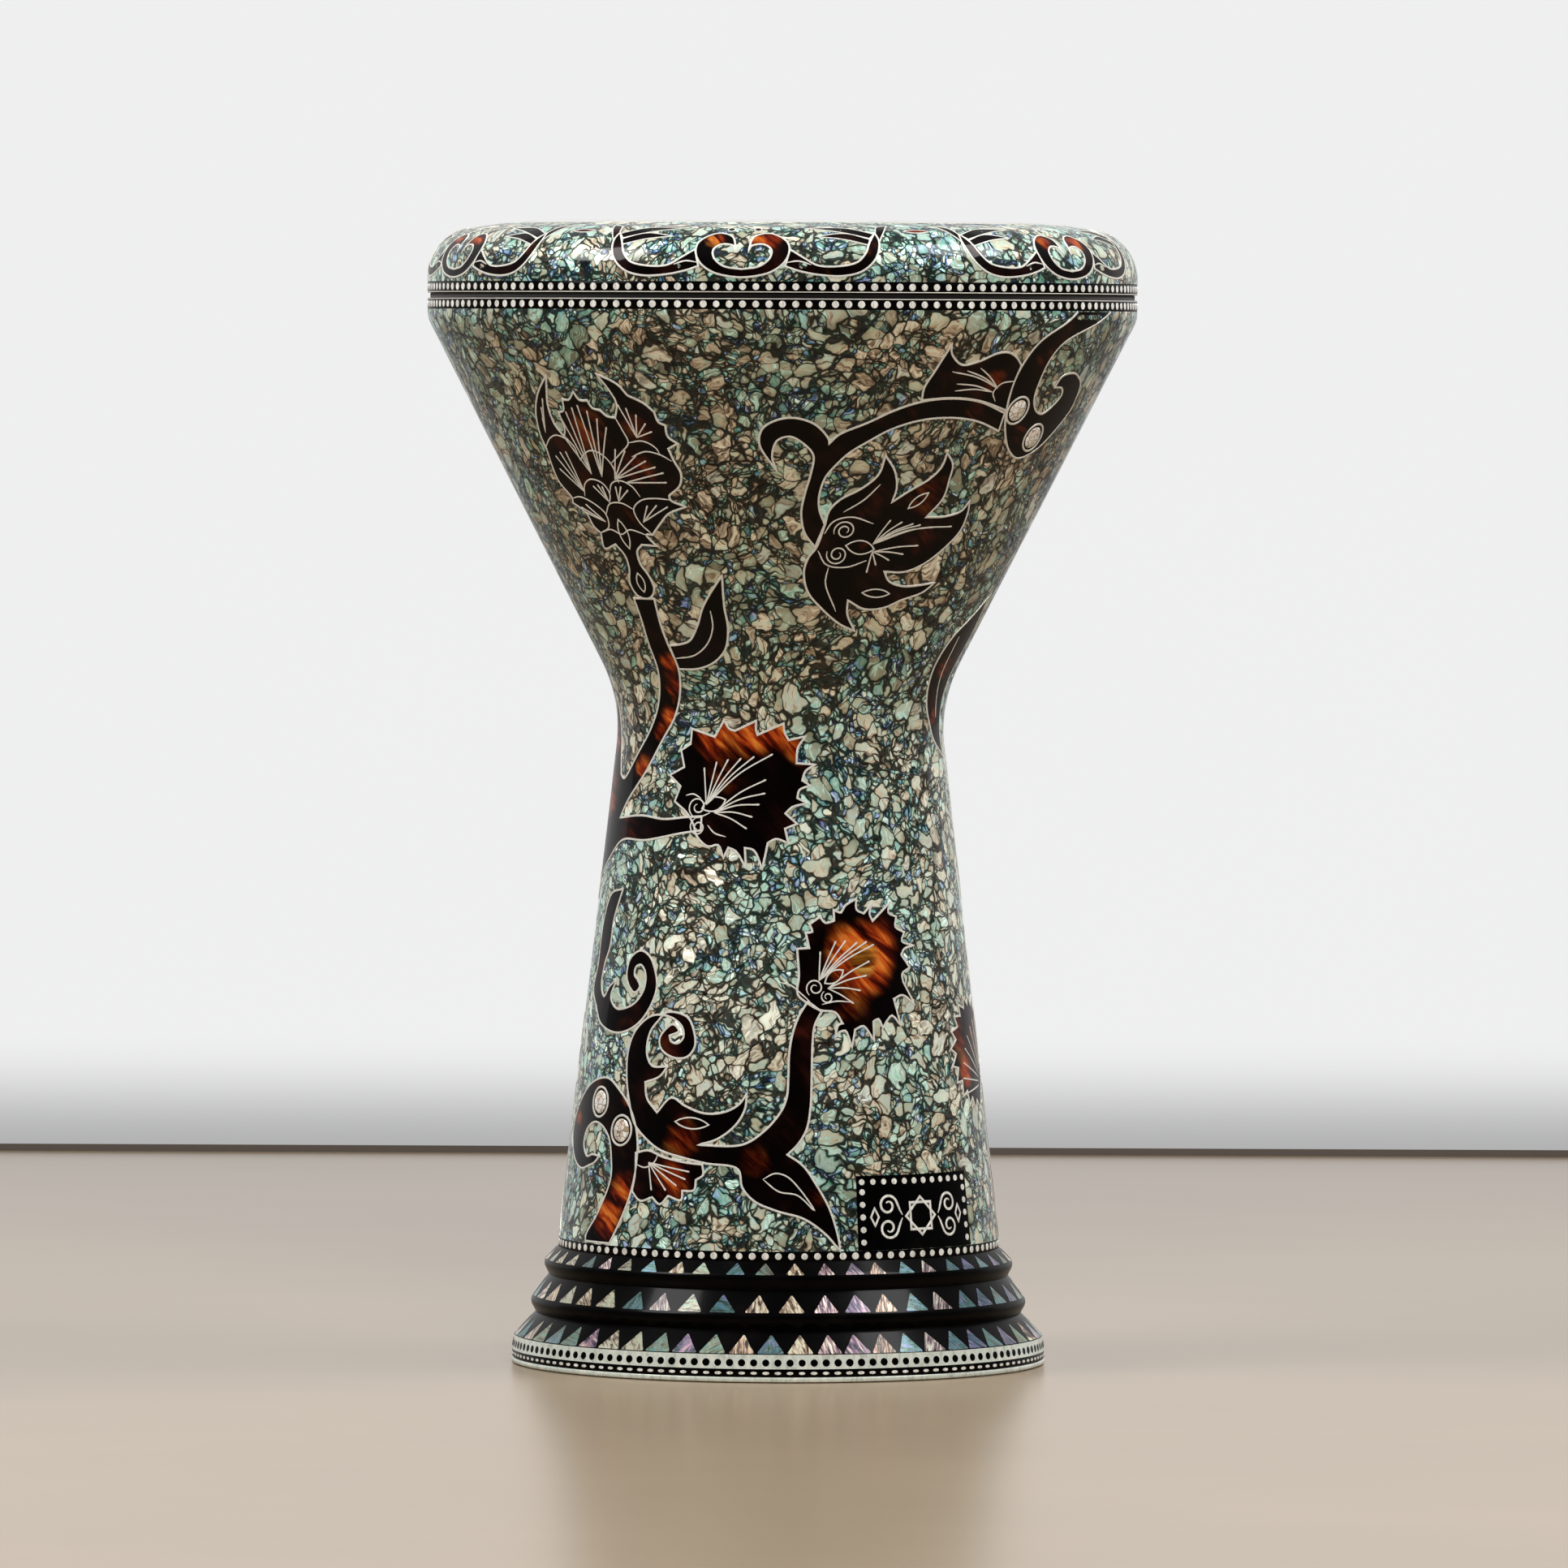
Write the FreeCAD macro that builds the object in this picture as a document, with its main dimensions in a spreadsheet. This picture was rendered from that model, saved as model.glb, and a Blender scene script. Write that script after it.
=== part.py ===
"""A goblet drum (darbuka) with a hidden, internally bolted tuning ring.

The drum stands on its foot with its axis on Z. The origin is the centre of the face that it rests on.
Azimuths are measured round the axis from the front, which faces -Y, towards +X. Sizes are in millimetres.

From the outside in, the body is an inlaid skin (shell mosaic, black lacquer, pearl and dotted strips) round
an aluminium casting: foot, skirt, neck, bowl, bolt shelf and bearing collar. The head is a film set in a
hoop, and it is drawn over the collar by the tuning ring, which eight screws pull down from inside the bowl.
"""
import FreeCAD, Part
import math
import os
import random

from FreeCAD import Placement, Rotation, Vector

import Sketcher

DRIVING_SIZES = {
    # overall
    "total_height": 450.0,
    "rim_radius": 140.0,
    "neck_radius": 62.6,
    "neck_height": 261.0,
    "neck_blend": 60.0,
    "skirt_radius": 87.0,
    # walls
    "skin": 1.5,
    "wall": 5.5,
    "foot_rim_width": 7.3,
    "rim_skirt": 7.6,
    "rim_blend": 11.0,
    # heights of the foot's strips and mouldings, from the floor up
    "pearl_edge_lift": 0.4,
    "pearl_edge_height": 1.9,
    "edge_strip_height": 3.2,
    "pearl_band_height": 5.5,
    "flare_rise": 9.0,
    "nose_two_rise": 4.6,
    "step_two_rise": 10.3,
    "nose_one_rise": 4.9,
    "step_one_rise": 6.2,
    "foot_dot_strip_height": 3.8,
    # how far the mouldings stand out, from the skirt down
    "nose_one_proud": 6.2,
    "throat_one_proud": 3.7,
    "nose_two_proud": 7.6,
    "throat_two_proud": 5.1,
    "flare_proud": 8.6,
    "pearl_band_proud": 0.9,
    "nose_blend": 2.4,
    # bearing collar and bolt shelf
    "collar_wall": 6.0,
    "bearing_blend": 4.0,
    "collar_inner_blend": 1.5,
    "shelf_thickness": 8.0,
    "spot_face_depth": 1.0,
    # head
    "film": 0.25,
    "film_clearance": 0.05,
    "film_set_clearance": 1.4,
    "hoop_clearance": 0.7,
    "hoop_width": 6.8,
    "hoop_depth": 9.6,
    "hoop_wall": 1.2,
    # tuning ring
    "ring_height": 28.0,
    "seam_gap": 2.0,
    "lip_drop": 0.7,
    "lip_width": 2.0,
    "lip_clearance": 2.2,
    "crown_slope": 8.5,
    "crown_blend": 20.0,
    "press_height": 8.0,
    "press_clearance": 0.1,
    "cavity_clearance": 1.2,
    "dot_strip_height": 4.4,
    "pocket_depth": 12.0,
    "pocket_span": 31.0,
    "pocket_wall": 4.0,
    # tuning screws, M6 socket head cap screws 30 long, on plain washers
    "screw_radius": 3.0,
    "screw_cover": 7.9,
    "screw_head_radius": 5.0,
    "screw_head_height": 6.0,
    "screw_hole_clearance": 0.3,
    "thread_clearance": 0.08,
    "thread_end_clearance": 1.1,
    "boss_inner_wall": 5.0,
    "boss_outer_wall": 11.34,
    "hex_across_flats": 5.0,
    "hex_depth": 3.0,
    "washer_radius": 6.0,
    "washer_thickness": 1.6,
    "washer_clearance": 0.2,
    "spot_face_clearance": 0.5,
    # inlays
    "panel_height": 29.0,
    "panel_start": 21.0,
    "panel_span": 39.0,
    "panel_thickness": 0.9,
    "cabochon_radius": 5.8,
    "cabochon_thickness": 1.0,
    "cabochon_dome": 0.6,
    "triangle_thickness": 0.5,
}
SCREW_COUNT = 8
# Cabochons set in the vines: (azimuth in degrees, drop below the rim's corner or rise above the foot).
BOWL_CABOCHONS = [(48.6, 35.6), (57.0, 46.2)]
SKIRT_CABOCHONS = [(-60.3, 55.3), (-48.9, 45.0)]
CABOCHON_SETS = 2
# Rows of shell triangles, one on each sloping face of the foot: base width, spacing, azimuth of the first,
# and how far the base stands above the face's lower edge and the apex below its upper edge.
TRIANGLE_ROWS = {
    "foot_triangles_upper": dict(face=0, width=7.9, pitch=11.85, start=3.6, rise=1.2, drop=0.6),
    "foot_triangles_middle": dict(face=2, width=11.2, pitch=13.3, start=2.8, rise=2.0, drop=1.5),
    "foot_triangles_lower": dict(face=4, width=11.3, pitch=11.45, start=4.7, rise=0.3, drop=1.6),
}
# The triangles are cut by hand: how much narrower one may be, how far its apex may lean, as shares of the
# width, and how much of its spare space it may be out of place.
WIDTH_SPREAD = 0.12
LEAN_SPREAD = 0.07
PLACE_SPREAD = 0.3
HAND_CUT_SEED = 5
FULL_TURN = 360
# The turn from +X, where a profile is drawn, to the front.
FRONT = -90
# The least volume that counts as a cut, in cubic millimetres, and lengths that count as equal.
LEAST_CUT = 1e-3
SAME_LENGTH = 1e-4
# How far a pocket's tool stands out of the skin.
TOOL_OVERRUN = 1.0

doc = FreeCAD.newDocument("darbuka")


# ---------------------------------------------------------------- driving sizes and what follows from them


def make_sheet():
    """A sheet with one row for each driving size, its cell aliased to the size's name."""
    made = doc.addObject("Spreadsheet::Sheet", "Sizes")
    for row, (name, size) in enumerate(DRIVING_SIZES.items(), start=1):
        made.set(f"A{row}", name)
        made.set(f"B{row}", str(size))
        made.setAlias(f"B{row}", name)
    doc.recompute()
    return made


sheet = make_sheet()


def size(name):
    """The expression that reads a driving size from the sheet."""
    assert name in DRIVING_SIZES, name
    return f"Sizes.{name}"


def value(expression):
    """The number that an expression comes to now."""
    found = sheet.evalExpression(str(expression))
    return float(getattr(found, "Value", found))


def less(expression, name):
    """An expression, less a driving size."""
    return f"({expression} - {size(name)})"


def more(expression, name):
    """An expression, plus a driving size."""
    return f"({expression} + {size(name)})"


# Levels, from the head down.
HEAD_TOP = size("total_height")
HEAD_UNDER = less(HEAD_TOP, "film")
BEARING_TOP = less(HEAD_UNDER, "film_clearance")
RING_BOTTOM = less(HEAD_TOP, "ring_height")
LIP_TOP = less(HEAD_TOP, "lip_drop")
PRESS_FACE = less(LIP_TOP, "press_height")
HOOP_TOP = less(PRESS_FACE, "press_clearance")
HOOP_BOTTOM = less(HOOP_TOP, "hoop_depth")
SHELF_TOP = less(RING_BOTTOM, "seam_gap")
SHELF_UNDER = less(SHELF_TOP, "shelf_thickness")
SPOT_FACE = more(SHELF_UNDER, "spot_face_depth")
SCREW_SEAT = less(SPOT_FACE, "washer_thickness")
SCREW_TIP = less(LIP_TOP, "screw_cover")
SHELL_STRIP_BOTTOM = less(SHELF_TOP, "dot_strip_height")
RING_STRIP_TOP = more(RING_BOTTOM, "dot_strip_height")
RIM_CORNER = less(SHELF_TOP, "rim_skirt")

# Levels of the foot, from the floor up.
EDGE_STRIP_BOTTOM = more(size("pearl_edge_lift"), "pearl_edge_height")
PEARL_BAND_BOTTOM = more(EDGE_STRIP_BOTTOM, "edge_strip_height")
FLARE = more(PEARL_BAND_BOTTOM, "pearl_band_height")
THROAT_TWO = more(FLARE, "flare_rise")
NOSE_TWO = more(THROAT_TWO, "nose_two_rise")
THROAT_ONE = more(NOSE_TWO, "step_two_rise")
NOSE_ONE = more(THROAT_ONE, "nose_one_rise")
STEP_ONE_TOP = more(NOSE_ONE, "step_one_rise")
SKIRT_BOTTOM = more(STEP_ONE_TOP, "foot_dot_strip_height")

# Radii of the rim, from the outside in: skin, ring, screws, hoop, film and bearing collar.
RIM = size("rim_radius")
RIM_CORE = less(RIM, "skin")
THREAD = more(size("screw_radius"), "thread_clearance")
SCREW_CIRCLE = f"({less(RIM_CORE, 'boss_outer_wall')} - {THREAD})"
CAVITY = f"({less(SCREW_CIRCLE, 'boss_inner_wall')} - {THREAD})"
HOOP_OUT = less(CAVITY, "cavity_clearance")
HOOP_IN = less(HOOP_OUT, "hoop_width")
FILM_OUT = less(HOOP_IN, "hoop_clearance")
FILM_IN = less(FILM_OUT, "film")
COLLAR_OUT = less(FILM_IN, "film_clearance")
COLLAR_IN = less(COLLAR_OUT, "collar_wall")
LIP_IN = more(FILM_OUT, "lip_clearance")
LIP_OUT = more(LIP_IN, "lip_width")

# Radii of the foot, from the skirt down.
SKIRT = size("skirt_radius")
THROAT_ONE_RADIUS = more(SKIRT, "throat_one_proud")
THROAT_TWO_RADIUS = more(THROAT_ONE_RADIUS, "throat_two_proud")
FLARE_RADIUS = more(THROAT_TWO_RADIUS, "flare_proud")
FOOT = more(FLARE_RADIUS, "pearl_band_proud")
FOOT_CORE = less(FOOT, "skin")

# The straight sides of the bowl and the skirt meet at the neck, where a blend rounds them.
NECK = size("neck_radius")
NECK_LEVEL = size("neck_height")
BOWL_SLOPE = f"(({RIM} - {NECK}) / ({RIM_CORNER} - {NECK_LEVEL}))"
SKIRT_SLOPE = f"(({SKIRT} - {NECK}) / ({NECK_LEVEL} - {SKIRT_BOTTOM}))"
CROWN_CORNER = f"({LIP_TOP} - ({RIM} - {LIP_OUT}) * tan({size('crown_slope')}))"
CORE_INSET = more(size("skin"), "wall")

# Blends, none larger than the wall that it rounds has room for.
ROOM_USED = 0.95
RIM_ROOM = f"{ROOM_USED} * ({SHELL_STRIP_BOTTOM} - {RIM_CORNER}) / tan(atan({BOWL_SLOPE}) / 2)"
RIM_BLEND = f"min({size('rim_blend')}; {RIM_ROOM})"
CROWN_ROOM = f"{ROOM_USED} * ({CROWN_CORNER} - {RING_STRIP_TOP}) / tan(45 - {size('crown_slope')} / 2)"
CROWN_BLEND = f"min({size('crown_blend')}; {CROWN_ROOM})"
COLLAR_ROOM = f"{ROOM_USED} * ({size('collar_wall')} - {size('bearing_blend')})"
COLLAR_BLEND = f"min({size('collar_inner_blend')}; {COLLAR_ROOM})"

# The outside of the foot, from the skirt down to the flare: (radius, height) of each corner.
FOOT_CORNERS = [
    (SKIRT, STEP_ONE_TOP),
    (more(SKIRT, "nose_one_proud"), NOSE_ONE),
    (THROAT_ONE_RADIUS, THROAT_ONE),
    (more(THROAT_ONE_RADIUS, "nose_two_proud"), NOSE_TWO),
    (THROAT_TWO_RADIUS, THROAT_TWO),
    (FLARE_RADIUS, FLARE),
]


# ---------------------------------------------------------------- ways of making a piece


def plane_of(body, role):
    """One of a body's own origin planes."""
    return next(f for f in body.Origin.OriginFeatures if f.Role == role)


def sketch_on(body, name, role, lift=None):
    """An empty sketch on an origin plane of its body, raised along the plane's normal by an expression."""
    sketch = body.newObject("Sketcher::SketchObject", name)
    sketch.AttachmentSupport = [(plane_of(body, role), "")]
    sketch.MapMode = "FlatFace"
    if lift:
        sketch.AttachmentOffset = Placement(Vector(0, 0, value(lift)), Rotation())
        sketch.setExpression("AttachmentOffset.Base.z", lift)
    return sketch


def pin_point(sketch, edge, across, up):
    """Fixes the start of an edge at two expressions: on an axis where one is zero, or at its distance."""
    for kind, expression, axis in (("DistanceX", across, -2), ("DistanceY", up, -1)):
        at = value(expression)
        if abs(at) < SAME_LENGTH:
            sketch.addConstraint(Sketcher.Constraint("PointOnObject", edge, 1, axis))
            continue
        index = sketch.addConstraint(Sketcher.Constraint(kind, -1, 1, edge, 1, at))
        sketch.setExpression(f"Constraints[{index}]", str(expression))


def add_outline(sketch, corners):
    """A closed outline of straight edges, with each corner at its own two expressions."""
    spots = [Vector(value(across), value(up), 0) for across, up in corners]
    first = sketch.GeometryCount
    for start, end in zip(spots, spots[1:] + spots[:1]):
        sketch.addGeometry(Part.LineSegment(start, end), False)
    for i in range(len(spots)):
        following = first + (i + 1) % len(spots)
        sketch.addConstraint(Sketcher.Constraint("Coincident", first + i, 2, following, 1))
    for i, (across, up) in enumerate(corners):
        pin_point(sketch, first + i, across, up)


def add_circle(sketch, radius, across):
    """A circle with its centre on the sketch's X axis, at an expression from the origin."""
    spot = Vector(value(across), 0, 0)
    circle = sketch.addGeometry(Part.Circle(spot, Vector(0, 0, 1), value(radius)), False)
    index = sketch.addConstraint(Sketcher.Constraint("Radius", circle, value(radius)))
    sketch.setExpression(f"Constraints[{index}]", radius)
    sketch.addConstraint(Sketcher.Constraint("PointOnObject", circle, 3, -1))
    index = sketch.addConstraint(Sketcher.Constraint("DistanceX", -1, 1, circle, 3, value(across)))
    sketch.setExpression(f"Constraints[{index}]", across)


def new_body(label):
    """A body whose label names its file."""
    body = doc.addObject("PartDesign::Body", label)
    body.Label = label
    return body


def turned(body, corners, angle=None):
    """Adds a closed outline, (radius, height) by (radius, height), turned round the axis."""
    sketch = sketch_on(body, body.Label + "_profile", "XZ_Plane")
    add_outline(sketch, corners)
    feature = body.newObject("PartDesign::Revolution", body.Label + "_turned")
    feature.Profile = sketch
    feature.ReferenceAxis = (sketch, ["V_Axis"])
    feature.Angle = FULL_TURN
    if angle:
        feature.setExpression("Angle", angle)
    sketch.Visibility = False
    doc.recompute()
    return feature


def edges_at(shape, radius, height):
    """The names of the round edges about the axis with this radius at this height."""
    found = []
    for number, edge in enumerate(shape.Edges, start=1):
        curve = edge.Curve
        if not isinstance(curve, Part.Circle):
            continue
        misfit = max(abs(curve.Radius - value(radius)), abs(curve.Center.z - value(height)))
        if misfit < SAME_LENGTH:
            found.append(f"Edge{number}")
    assert found, (radius, height)
    return found


def rounded(body, radius, *corners):
    """Rounds the turned edges at these (radius, height) corners."""
    feature = body.newObject("PartDesign::Fillet", f"{body.Label}_blend")
    base = body.Group[body.Group.index(feature) - 1]
    names = [name for across, up in corners for name in edges_at(base.Shape, across, up)]
    feature.Base = (base, names)
    feature.Radius = value(radius)
    feature.setExpression("Radius", radius)
    doc.recompute()
    return feature


def bored(body, name, draw, level, depth, upwards=False):
    """A hole drawn by a function on a sketch at a level, which runs down, or up, by a depth."""
    sketch = sketch_on(body, name + "_profile", "XY_Plane", lift=level)
    draw(sketch)
    cut = body.newObject("PartDesign::Pocket", name)
    cut.Profile = sketch
    cut.Length = value(depth)
    cut.setExpression("Length", depth)
    cut.Reversed = upwards
    sketch.Visibility = False
    return checked_cut(cut)


def checked_cut(cut):
    """A cut that has taken something away."""
    before = cut.BaseFeature.Shape.Volume
    doc.recompute()
    assert cut.Shape.Volume < before - LEAST_CUT, f"{cut.Label} cut nothing"
    return cut


def round_hole(radius):
    """What draws a hole of this radius on the screw circle."""
    return lambda sketch: add_circle(sketch, radius, SCREW_CIRCLE)


def add_hexagon(sketch):
    """The hex key's socket, about the sketch's origin."""
    corner = f"({size('hex_across_flats')} / sqrt(3))"
    half = f"({corner} / 2)"
    flat = f"({size('hex_across_flats')} / 2)"
    upper = [(corner, "0"), (half, flat), (f"-{half}", flat)]
    lower = [(f"-{corner}", "0"), (f"-{half}", f"-{flat}"), (half, f"-{flat}")]
    add_outline(sketch, upper + lower)


def repeated(body, feature, count, axis="N_Axis"):
    """Repeats a feature evenly round the drum's axis, which is this axis of the feature's sketch."""
    pattern = body.newObject("PartDesign::PolarPattern", feature.Label + "_round")
    pattern.Originals = [feature]
    pattern.Axis = (feature.Profile[0], [axis])
    pattern.Angle = FULL_TURN
    pattern.Occurrences = count
    body.Tip = pattern
    doc.recompute()
    return pattern


def ring_of(label, inner, outer, bottom, top):
    """A plain turned ring of rectangular section."""
    body = new_body(label)
    turned(body, [(inner, bottom), (outer, bottom), (outer, top), (inner, top)])
    return body


# ---------------------------------------------------------------- the casting and its skin


def make_casting():
    """Foot, skirt, neck, bowl, bolt shelf and bearing collar, in one aluminium casting."""
    body = new_body("shell_casting")
    foot = [(less(radius, "skin"), height) for radius, height in FOOT_CORNERS]
    neck_out = (less(NECK, "skin"), NECK_LEVEL)
    neck_in = (f"({NECK} - {CORE_INSET})", NECK_LEVEL)
    rim = (RIM_CORE, RIM_CORNER)
    outside = [(FOOT_CORE, "0"), (FOOT_CORE, PEARL_BAND_BOTTOM), *reversed(foot), neck_out, rim]
    shelf = [(RIM_CORE, SHELF_TOP), (COLLAR_OUT, SHELF_TOP)]
    collar = [(COLLAR_OUT, BEARING_TOP), (COLLAR_IN, BEARING_TOP), (COLLAR_IN, SHELF_UNDER)]
    bowl_in = f"({NECK} - {CORE_INSET} + ({SHELF_UNDER} - {NECK_LEVEL}) * {BOWL_SLOPE})"
    skirt_in = (f"({SKIRT} - {CORE_INSET})", SKIRT_BOTTOM)
    inside = [(bowl_in, SHELF_UNDER), neck_in, skirt_in, (less(FOOT_CORE, "foot_rim_width"), "0")]
    turned(body, outside + shelf + collar + inside)
    rounded(body, size("neck_blend"), neck_out, neck_in)
    rounded(body, RIM_BLEND, rim)
    rounded(body, size("bearing_blend"), (COLLAR_OUT, BEARING_TOP))
    rounded(body, COLLAR_BLEND, (COLLAR_IN, BEARING_TOP))
    hole = round_hole(more(size("screw_radius"), "screw_hole_clearance"))
    repeated(body, bored(body, "screw_hole", hole, SHELF_TOP, size("shelf_thickness")), SCREW_COUNT)
    spot = round_hole(more(size("washer_radius"), "spot_face_clearance"))
    depth = more(size("washer_thickness"), "screw_head_height")
    repeated(body, bored(body, "spot_face", spot, SPOT_FACE, depth), SCREW_COUNT)
    return body


def make_mosaic_blank():
    """The mosaic's whole skin, from the foot's dotted strip to the rim's, before its inlays are let in."""
    body = new_body("shell_mosaic_blank")
    outer = [(RIM, SHELL_STRIP_BOTTOM), (RIM, RIM_CORNER), (NECK, NECK_LEVEL), (SKIRT, SKIRT_BOTTOM)]
    inner = [(less(radius, "skin"), height) for radius, height in reversed(outer)]
    turned(body, outer + inner)
    rounded(body, size("neck_blend"), outer[2], inner[1])
    rounded(body, RIM_BLEND, outer[1], inner[2])
    return body


def make_lacquer_blank():
    """The black lacquer over the foot's two noses and its flare, before the triangles are let in."""
    body = new_body("foot_lacquer_blank")
    core = [(less(radius, "skin"), height) for radius, height in reversed(FOOT_CORNERS)]
    turned(body, FOOT_CORNERS + core)
    rounded(body, size("nose_blend"), FOOT_CORNERS[1], FOOT_CORNERS[3])
    return body


def make_foot_strips():
    """The strips that edge the foot: dotted strip above the lacquer, pearl band, black strip, pearl edge."""
    band = new_body("foot_pearl_band")
    band_top = [(FLARE_RADIUS, FLARE), (less(FLARE_RADIUS, "skin"), FLARE)]
    turned(band, [(FOOT_CORE, PEARL_BAND_BOTTOM), (FOOT, PEARL_BAND_BOTTOM), *band_top])
    return [
        ring_of("foot_dot_strip", less(SKIRT, "skin"), SKIRT, STEP_ONE_TOP, SKIRT_BOTTOM),
        band,
        ring_of("foot_edge_strip", FOOT_CORE, FOOT, EDGE_STRIP_BOTTOM, PEARL_BAND_BOTTOM),
        ring_of("foot_pearl_edge", FOOT_CORE, FOOT, size("pearl_edge_lift"), EDGE_STRIP_BOTTOM),
    ]


# ---------------------------------------------------------------- inlays let into the skin


def at_azimuth(radius, azimuth, height):
    """A point at a radius, an azimuth in degrees from the front, and a height."""
    turn = math.radians(azimuth)
    return Vector(radius * math.sin(turn), -radius * math.cos(turn), height)


def make_cabochon(azimuth, height, slope):
    """A shell disc with a domed face, let into a straight side of this slope, square to it."""
    radius = value(NECK) + (height - value(NECK_LEVEL)) * slope
    lean = math.atan(slope)
    outward = at_azimuth(math.cos(lean), azimuth, -math.sin(lean))
    edge = value(size("cabochon_radius"))
    depth = value(size("cabochon_thickness"))
    dome = value(size("cabochon_dome"))
    ball = (edge**2 + dome**2) / (2 * dome)
    half_angle = math.asin(edge / ball) / 2
    on_dome = Vector(ball * math.sin(half_angle), 0, dome - ball + ball * math.cos(half_angle))
    rim, crown, under = Vector(edge, 0, 0), Vector(0, 0, dome), Vector(0, 0, -depth)
    straight = Part.makePolygon([crown, under, Vector(edge, 0, -depth), rim]).Edges
    outline = Part.Wire(straight + [Part.Arc(rim, on_dome, crown).toShape()])
    disc = Part.Face(outline).revolve(Vector(), Vector(0, 0, 1), FULL_TURN)
    seat = Placement(at_azimuth(radius, azimuth, height), Rotation(Vector(0, 0, 1), outward))
    return disc.transformed(seat.toMatrix())


def make_cabochons():
    """All the shell discs, in sets spaced evenly round the drum."""
    rim, foot = value(RIM_CORNER), value(SKIRT_BOTTOM)
    bowl, skirt = value(BOWL_SLOPE), -value(SKIRT_SLOPE)
    places = [(azimuth, rim - drop, bowl) for azimuth, drop in BOWL_CABOCHONS]
    places += [(azimuth, foot + rise, skirt) for azimuth, rise in SKIRT_CABOCHONS]
    discs = []
    for turn in range(CABOCHON_SETS):
        start = turn * FULL_TURN / CABOCHON_SETS
        discs += [make_cabochon(azimuth + start, height, slope) for azimuth, height, slope in places]
    group = doc.addObject("Part::Feature", "pearl_cabochons")
    group.Shape = Part.makeCompound(discs)
    return group


def make_panel():
    """The black panel low on the skirt, standing on the foot's dotted strip."""
    body = new_body("skirt_panel")
    top = more(SKIRT_BOTTOM, "panel_height")
    outer = [(SKIRT, SKIRT_BOTTOM), (f"({SKIRT} - {size('panel_height')} * {SKIRT_SLOPE})", top)]
    inner = [(less(radius, "panel_thickness"), height) for radius, height in reversed(outer)]
    turned(body, outer + inner, angle=size("panel_span"))
    body.Placement = Placement(Vector(), Rotation(Vector(0, 0, 1), value(size("panel_start")) + FRONT))
    return body


def face_layer(row, inner, outer):
    """The turned layer along a sloping face of the foot, between two offsets from its surface."""
    face = FOOT_CORNERS[row["face"] : row["face"] + 2]
    (top_radius, top), (low_radius, low) = [(value(radius), value(height)) for radius, height in face]
    section = [Vector(top_radius - inner, 0, top), Vector(low_radius - inner, 0, low)]
    section += [Vector(low_radius + outer, 0, low), Vector(top_radius + outer, 0, top)]
    return Part.Face(Part.makePolygon(section + section[:1])).revolve(Vector(), Vector(0, 0, 1), FULL_TURN)


def make_triangles(label, row):
    """A row of shell triangles let into one sloping face of the foot, and the tool for their pockets."""
    top = value(FOOT_CORNERS[row["face"]][1]) - row["drop"]
    low_radius, low = [value(expression) for expression in FOOT_CORNERS[row["face"] + 1]]
    depth = value(size("triangle_thickness"))
    layers = [face_layer(row, depth, 0), face_layer(row, depth, TOOL_OVERRUN)]
    count = round(2 * math.pi * low_radius / row["pitch"])
    spacing = 2 * math.pi * low_radius / count
    hand = random.Random(HAND_CUT_SEED)
    placed = [[], []]
    for i in range(count):
        width = row["width"] * (1 - WIDTH_SPREAD * hand.random())
        lean = width * hand.uniform(-LEAN_SPREAD, LEAN_SPREAD)
        shift = (spacing - width) * hand.uniform(-PLACE_SPREAD, PLACE_SPREAD)
        base = low + row["rise"]
        outline = [Vector(0, -width / 2, base), Vector(0, width / 2, base), Vector(0, lean, top)]
        wedge = Part.Face(Part.makePolygon(outline + outline[:1])).extrude(Vector(2 * low_radius, 0, 0))
        azimuth = row["start"] + (i + shift / spacing) * FULL_TURN / count
        turn = Placement(Vector(), Rotation(Vector(0, 0, 1), azimuth + FRONT)).toMatrix()
        for layer, pieces in zip(layers, placed):
            pieces.append(layer.common(wedge).Solids[0].transformed(turn))
    triangles = doc.addObject("Part::Feature", label)
    triangles.Shape = Part.makeCompound(placed[0])
    tool = doc.addObject("Part::Feature", label + "_pockets")
    tool.Shape = Part.makeCompound(placed[1])
    return triangles, tool


def let_in(label, blank, tools, inlays):
    """A blank skin with a pocket for each inlay."""
    tool = doc.addObject("Part::Compound", label + "_tools")
    tool.Links = tools
    cut = doc.addObject("Part::Cut", label)
    cut.Base = blank
    cut.Tool = tool
    cut.Label = label
    doc.recompute()
    for inlay in inlays:
        left = cut.Shape.common(inlay.Shape).Volume
        assert left < SAME_LENGTH * inlay.Shape.Volume, f"{label} isn't cut for {inlay.Label}: {left}"
    return cut


# ---------------------------------------------------------------- head, tuning ring and screws


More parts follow.
